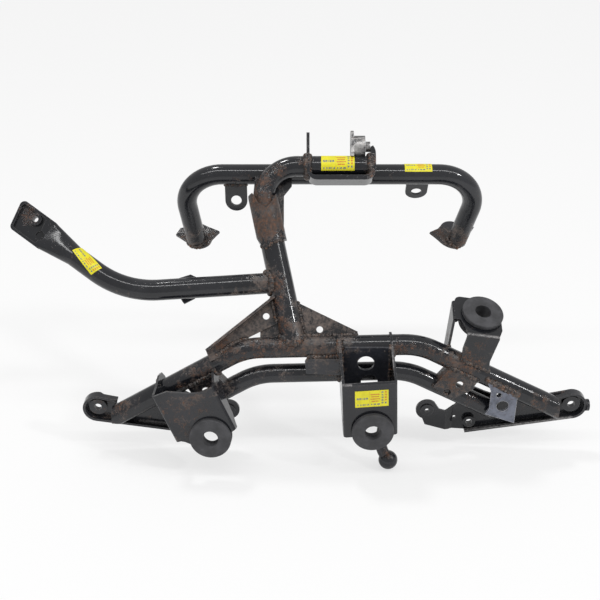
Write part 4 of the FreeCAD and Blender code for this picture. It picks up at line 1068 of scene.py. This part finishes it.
class STAY_OT_fit_grommets(bpy.types.Operator):
    """Turn the three rubber grommets with rounded rims and fit them in their brackets."""

    bl_idname = "stay.fit_grommets"
    bl_label = "Fit the grommets"

    segments: IntProperty(name="Segments", description="Facets round a grommet", default=96, min=12)

    def execute(self, context):
        rubber = context.scene.stay_rubber
        material = grey_rubber()
        mounts = {mount["name"]: mount for mount in frame["record"]["mounts"]}
        for name in RUBBER_NODES:
            mount = mounts[name + "_bore"]
            axis = Vector(mount["axis"])
            if axis.z < 0:
                axis.negate()
            section = grommet_section(rubber, GROMMET_FOOT.get(name, 0.0) * MM)
            mesh = turned(section, mount["pos_m"], axis, self.segments)
            piece = new_piece(name + "_moulded", mesh, material)
            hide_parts(name)
        return {"FINISHED"}


class STAY_OT_open_window(bpy.types.Operator):
    """Open the window of the right side plate below the wing, beside the clip plate."""

    bl_idname = "stay.open_window"
    bl_label = "Open the side plate's window"

    def execute(self, context):
        solid = frame["nodes"]["right_side_plate"]
        paint = solid.data.materials[0]
        shape = bmesh.new()
        shape.from_mesh(solid.data)
        bmesh.ops.remove_doubles(shape, verts=shape.verts, dist=SAME_POINT)
        mesh = bpy.data.meshes.new("right_side_plate_open")
        shape.to_mesh(mesh)
        shape.free()
        cutter = linked("window", prism("window", WINDOW, WINDOW_NEAR, WINDOW_FAR))
        piece = new_piece("right_side_plate_open", mesh, paint)
        modifier = piece.modifiers.new("window", "BOOLEAN")
        modifier.operation = "DIFFERENCE"
        modifier.solver = "EXACT"
        modifier.object = cutter
        settle(piece, modifier)
        piece.data.materials.clear()
        piece.data.materials.append(paint)
        bpy.data.objects.remove(cutter)
        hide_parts("right_side_plate")
        return {"FINISHED"}


class STAY_OT_bend_stud(bpy.types.Operator):
    """Bend the ball stud's rod to the right below the centre bracket and set the ball on it."""

    bl_idname = "stay.bend_stud"
    bl_label = "Bend the ball stud"

    def execute(self, context):
        shape = bmesh.new()
        add_rod(shape, STUD_PATH)
        bmesh.ops.create_uvsphere(shape, u_segments=BALL_SEGMENTS, v_segments=BALL_RINGS,
                                  radius=STUD_BALL_R * MM, matrix=Matrix.Translation(place(*STUD_BALL)))
        mesh = closed_mesh(shape, "ball_stud_bent", True)
        paint = frame["nodes"]["ball_stud"].data.materials[0]
        piece = new_piece("ball_stud_bent", mesh, paint)
        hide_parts("ball_stud")
        return {"FINISHED"}


class STAY_OT_stick_stickers(bpy.types.Operator):
    """Stick the yellow paper stickers on the arm, the hoop, the side arm and the centre bracket."""

    bl_idname = "stay.stick_stickers"
    bl_label = "Stick the stickers"

    def execute(self, context):
        look = context.scene.stay_sticker
        paper = sticker_paper()
        rows = {
            "sticker_arm": tube_sticker(leaning(-13, ARM_HEIGHT), leaning(17.5, ARM_HEIGHT), ARM_R, -24, 78),
            "sticker_hoop": tube_sticker((65.5, HOOP_Y, HOOP_Z), (91, HOOP_Y, HOOP_Z), ARM_R, 14, 100),
            "sticker_side_arm": tube_sticker(leaning(-239.6, 83.6), leaning(-217.4, 67.6), ARM_R, 30, 96,
                                             -48, 4.0),
            "sticker_centre": flat_sticker((16.2, -42.45, -37.8), (29.4, 1.29, 1.33), (-0.76, 0, 16.8),
                                           (0.0437, -0.999, 0)),
        }
        for name, corners in rows.items():
            new_piece(name, sticker_mesh(corners, look.thickness), paper)
        return {"FINISHED"}


class STAY_OT_set_stage(bpy.types.Operator):
    """Set the floor, the soft lamps and the camera."""

    bl_idname = "stay.set_stage"
    bl_label = "Set the stage"

    def execute(self, context):
        stage = context.scene.stay_stage
        self.lay_floor(stage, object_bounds()[0].z - FLOOR_DROP)
        self.light_world(context.scene, stage)
        self.add_sun("key_lamp", stage.key, stage.softness, KEY_FROM)
        self.add_sun("fill_lamp", stage.fill, stage.narrow, FILL_FROM)
        self.add_strip(stage)
        self.place_camera(context.scene, stage)
        context.scene.view_settings.view_transform = "Standard"
        return {"FINISHED"}

    def lay_floor(self, stage, height):
        """Wide pale floor that keeps the shadow and shows partly plain white to the camera."""
        mesh = bpy.data.meshes.new("floor")
        half = FLOOR_HALF
        mesh.from_pydata([(-half, -half, height), (half, -half, height), (half, half, height),
                          (-half, half, height)], [], [(0, 1, 2, 3)])
        floor = linked("floor", mesh)
        material = bpy.data.materials.new("floor")
        material.use_nodes = True
        tree = material.node_tree
        shader = tree.nodes["Principled BSDF"]
        shader.inputs["Base Color"].default_value = (*stage.floor, 1.0)
        shader.inputs["Roughness"].default_value = 1.0
        shader.inputs["Specular IOR Level"].default_value = 0.0
        white = node(tree, "ShaderNodeEmission", {"Color": WHITE, "Strength": 1.0})
        seen = tree.nodes.new("ShaderNodeLightPath").outputs["Is Camera Ray"]
        both = node(tree, "ShaderNodeMixShader", {0: times(tree, seen, stage.backdrop), 1: shader.outputs[0],
                                                  2: white.outputs[0]})
        tree.links.new(both.outputs[0], tree.nodes["Material Output"].inputs["Surface"])
        mesh.materials.append(material)
        floor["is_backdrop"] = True

    def light_world(self, scene, stage):
        """Even light; the sky shows white to the camera and pale in reflections."""
        world = bpy.data.worlds.new("studio")
        scene.world = world
        world.use_nodes = True
        tree = world.node_tree
        backdrop = tree.nodes["Background"]
        backdrop.inputs["Color"].default_value = WHITE
        path = tree.nodes.new("ShaderNodeLightPath").outputs
        lit = plus_share(tree, path["Is Glossy Ray"], stage.mirrored - stage.sky, stage.sky)
        strength = plus_share(tree, path["Is Camera Ray"], 1.0 - stage.sky, lit)
        tree.links.new(strength, backdrop.inputs["Strength"])

    def hang(self, lamp, at, turn):
        """Hang a lamp at a place, turned."""
        holder = linked(lamp.name, lamp)
        holder.location = at
        holder.rotation_euler = turn

    def add_sun(self, name, strength, softness, at):
        """Even lamp that shines from one side over the whole floor."""
        lamp = bpy.data.lights.new(name, "SUN")
        lamp.energy = strength
        lamp.angle = softness
        self.hang(lamp, at, (-Vector(at)).to_track_quat("-Z", "Y").to_euler())

    def add_strip(self, stage):
        """Long, narrow lamp that draws a bright line along each tube."""
        lamp = bpy.data.lights.new("strip_lamp", "AREA")
        lamp.shape = "RECTANGLE"
        lamp.size = stage.strip_length
        lamp.size_y = stage.strip_width
        lamp.energy = stage.strip
        self.hang(lamp, STRIP_AT, (math.atan2(-STRIP_AT[1], STRIP_AT[2]), 0.0, 0.0))

    def place_camera(self, scene, stage):
        """Camera in front, looking down on the stay as a catalogue picture does."""
        lens = bpy.data.cameras.new("camera")
        lens.lens = stage.lens
        lens.sensor_width = SENSOR_WIDTH
        lens.clip_start = CLIP_NEAR
        lens.clip_end = CLIP_FAR
        camera = linked("camera", lens)
        camera.location = place(*CAMERA_AT)
        camera.rotation_euler = (stage.tilt, 0.0, 0.0)
        scene.camera = camera


class STAY_PT_finish(bpy.types.Panel):
    """Buttons and settings for the stay's finish."""

    bl_label = "Fairing stay"
    bl_idname = "STAY_PT_finish"
    bl_space_type = "VIEW_3D"
    bl_region_type = "UI"
    bl_category = "Stay"

    def draw(self, context):
        for operator in OPERATORS:
            self.layout.operator(operator.bl_idname)
        for name, settings in SETTINGS.items():
            box = self.layout.box()
            for key in settings.__annotations__:
                box.prop(getattr(context.scene, name), key)


OPERATORS = (STAY_OT_paint_steel, STAY_OT_lay_welds, STAY_OT_fit_grommets, STAY_OT_open_window,
             STAY_OT_bend_stud, STAY_OT_stick_stickers, STAY_OT_set_stage)
SETTINGS = {"stay_paint": PaintSettings, "stay_welds": WeldSettings, "stay_sticker": StickerSettings,
            "stay_rubber": RubberSettings, "stay_stage": StageSettings}


def register():
    """Register the settings, the operators and the panel."""
    for name, settings in SETTINGS.items():
        bpy.utils.register_class(settings)
        setattr(bpy.types.Scene, name, PointerProperty(type=settings))
    for operator in OPERATORS:
        bpy.utils.register_class(operator)
    bpy.utils.register_class(STAY_PT_finish)


def unregister():
    """Take everything back out."""
    bpy.utils.unregister_class(STAY_PT_finish)
    for operator in reversed(OPERATORS):
        bpy.utils.unregister_class(operator)
    for name in SETTINGS:
        delattr(bpy.types.Scene, name)
    for settings in reversed(list(SETTINGS.values())):
        bpy.utils.unregister_class(settings)


def main():
    """Finish the stay, piece by piece."""
    register()
    bpy.ops.stay.paint_steel()
    bpy.ops.stay.lay_welds()
    bpy.ops.stay.fit_grommets()
    bpy.ops.stay.open_window()
    bpy.ops.stay.bend_stud()
    bpy.ops.stay.stick_stickers()
    bpy.ops.stay.set_stage()


if __name__ == "__main__":
    main()
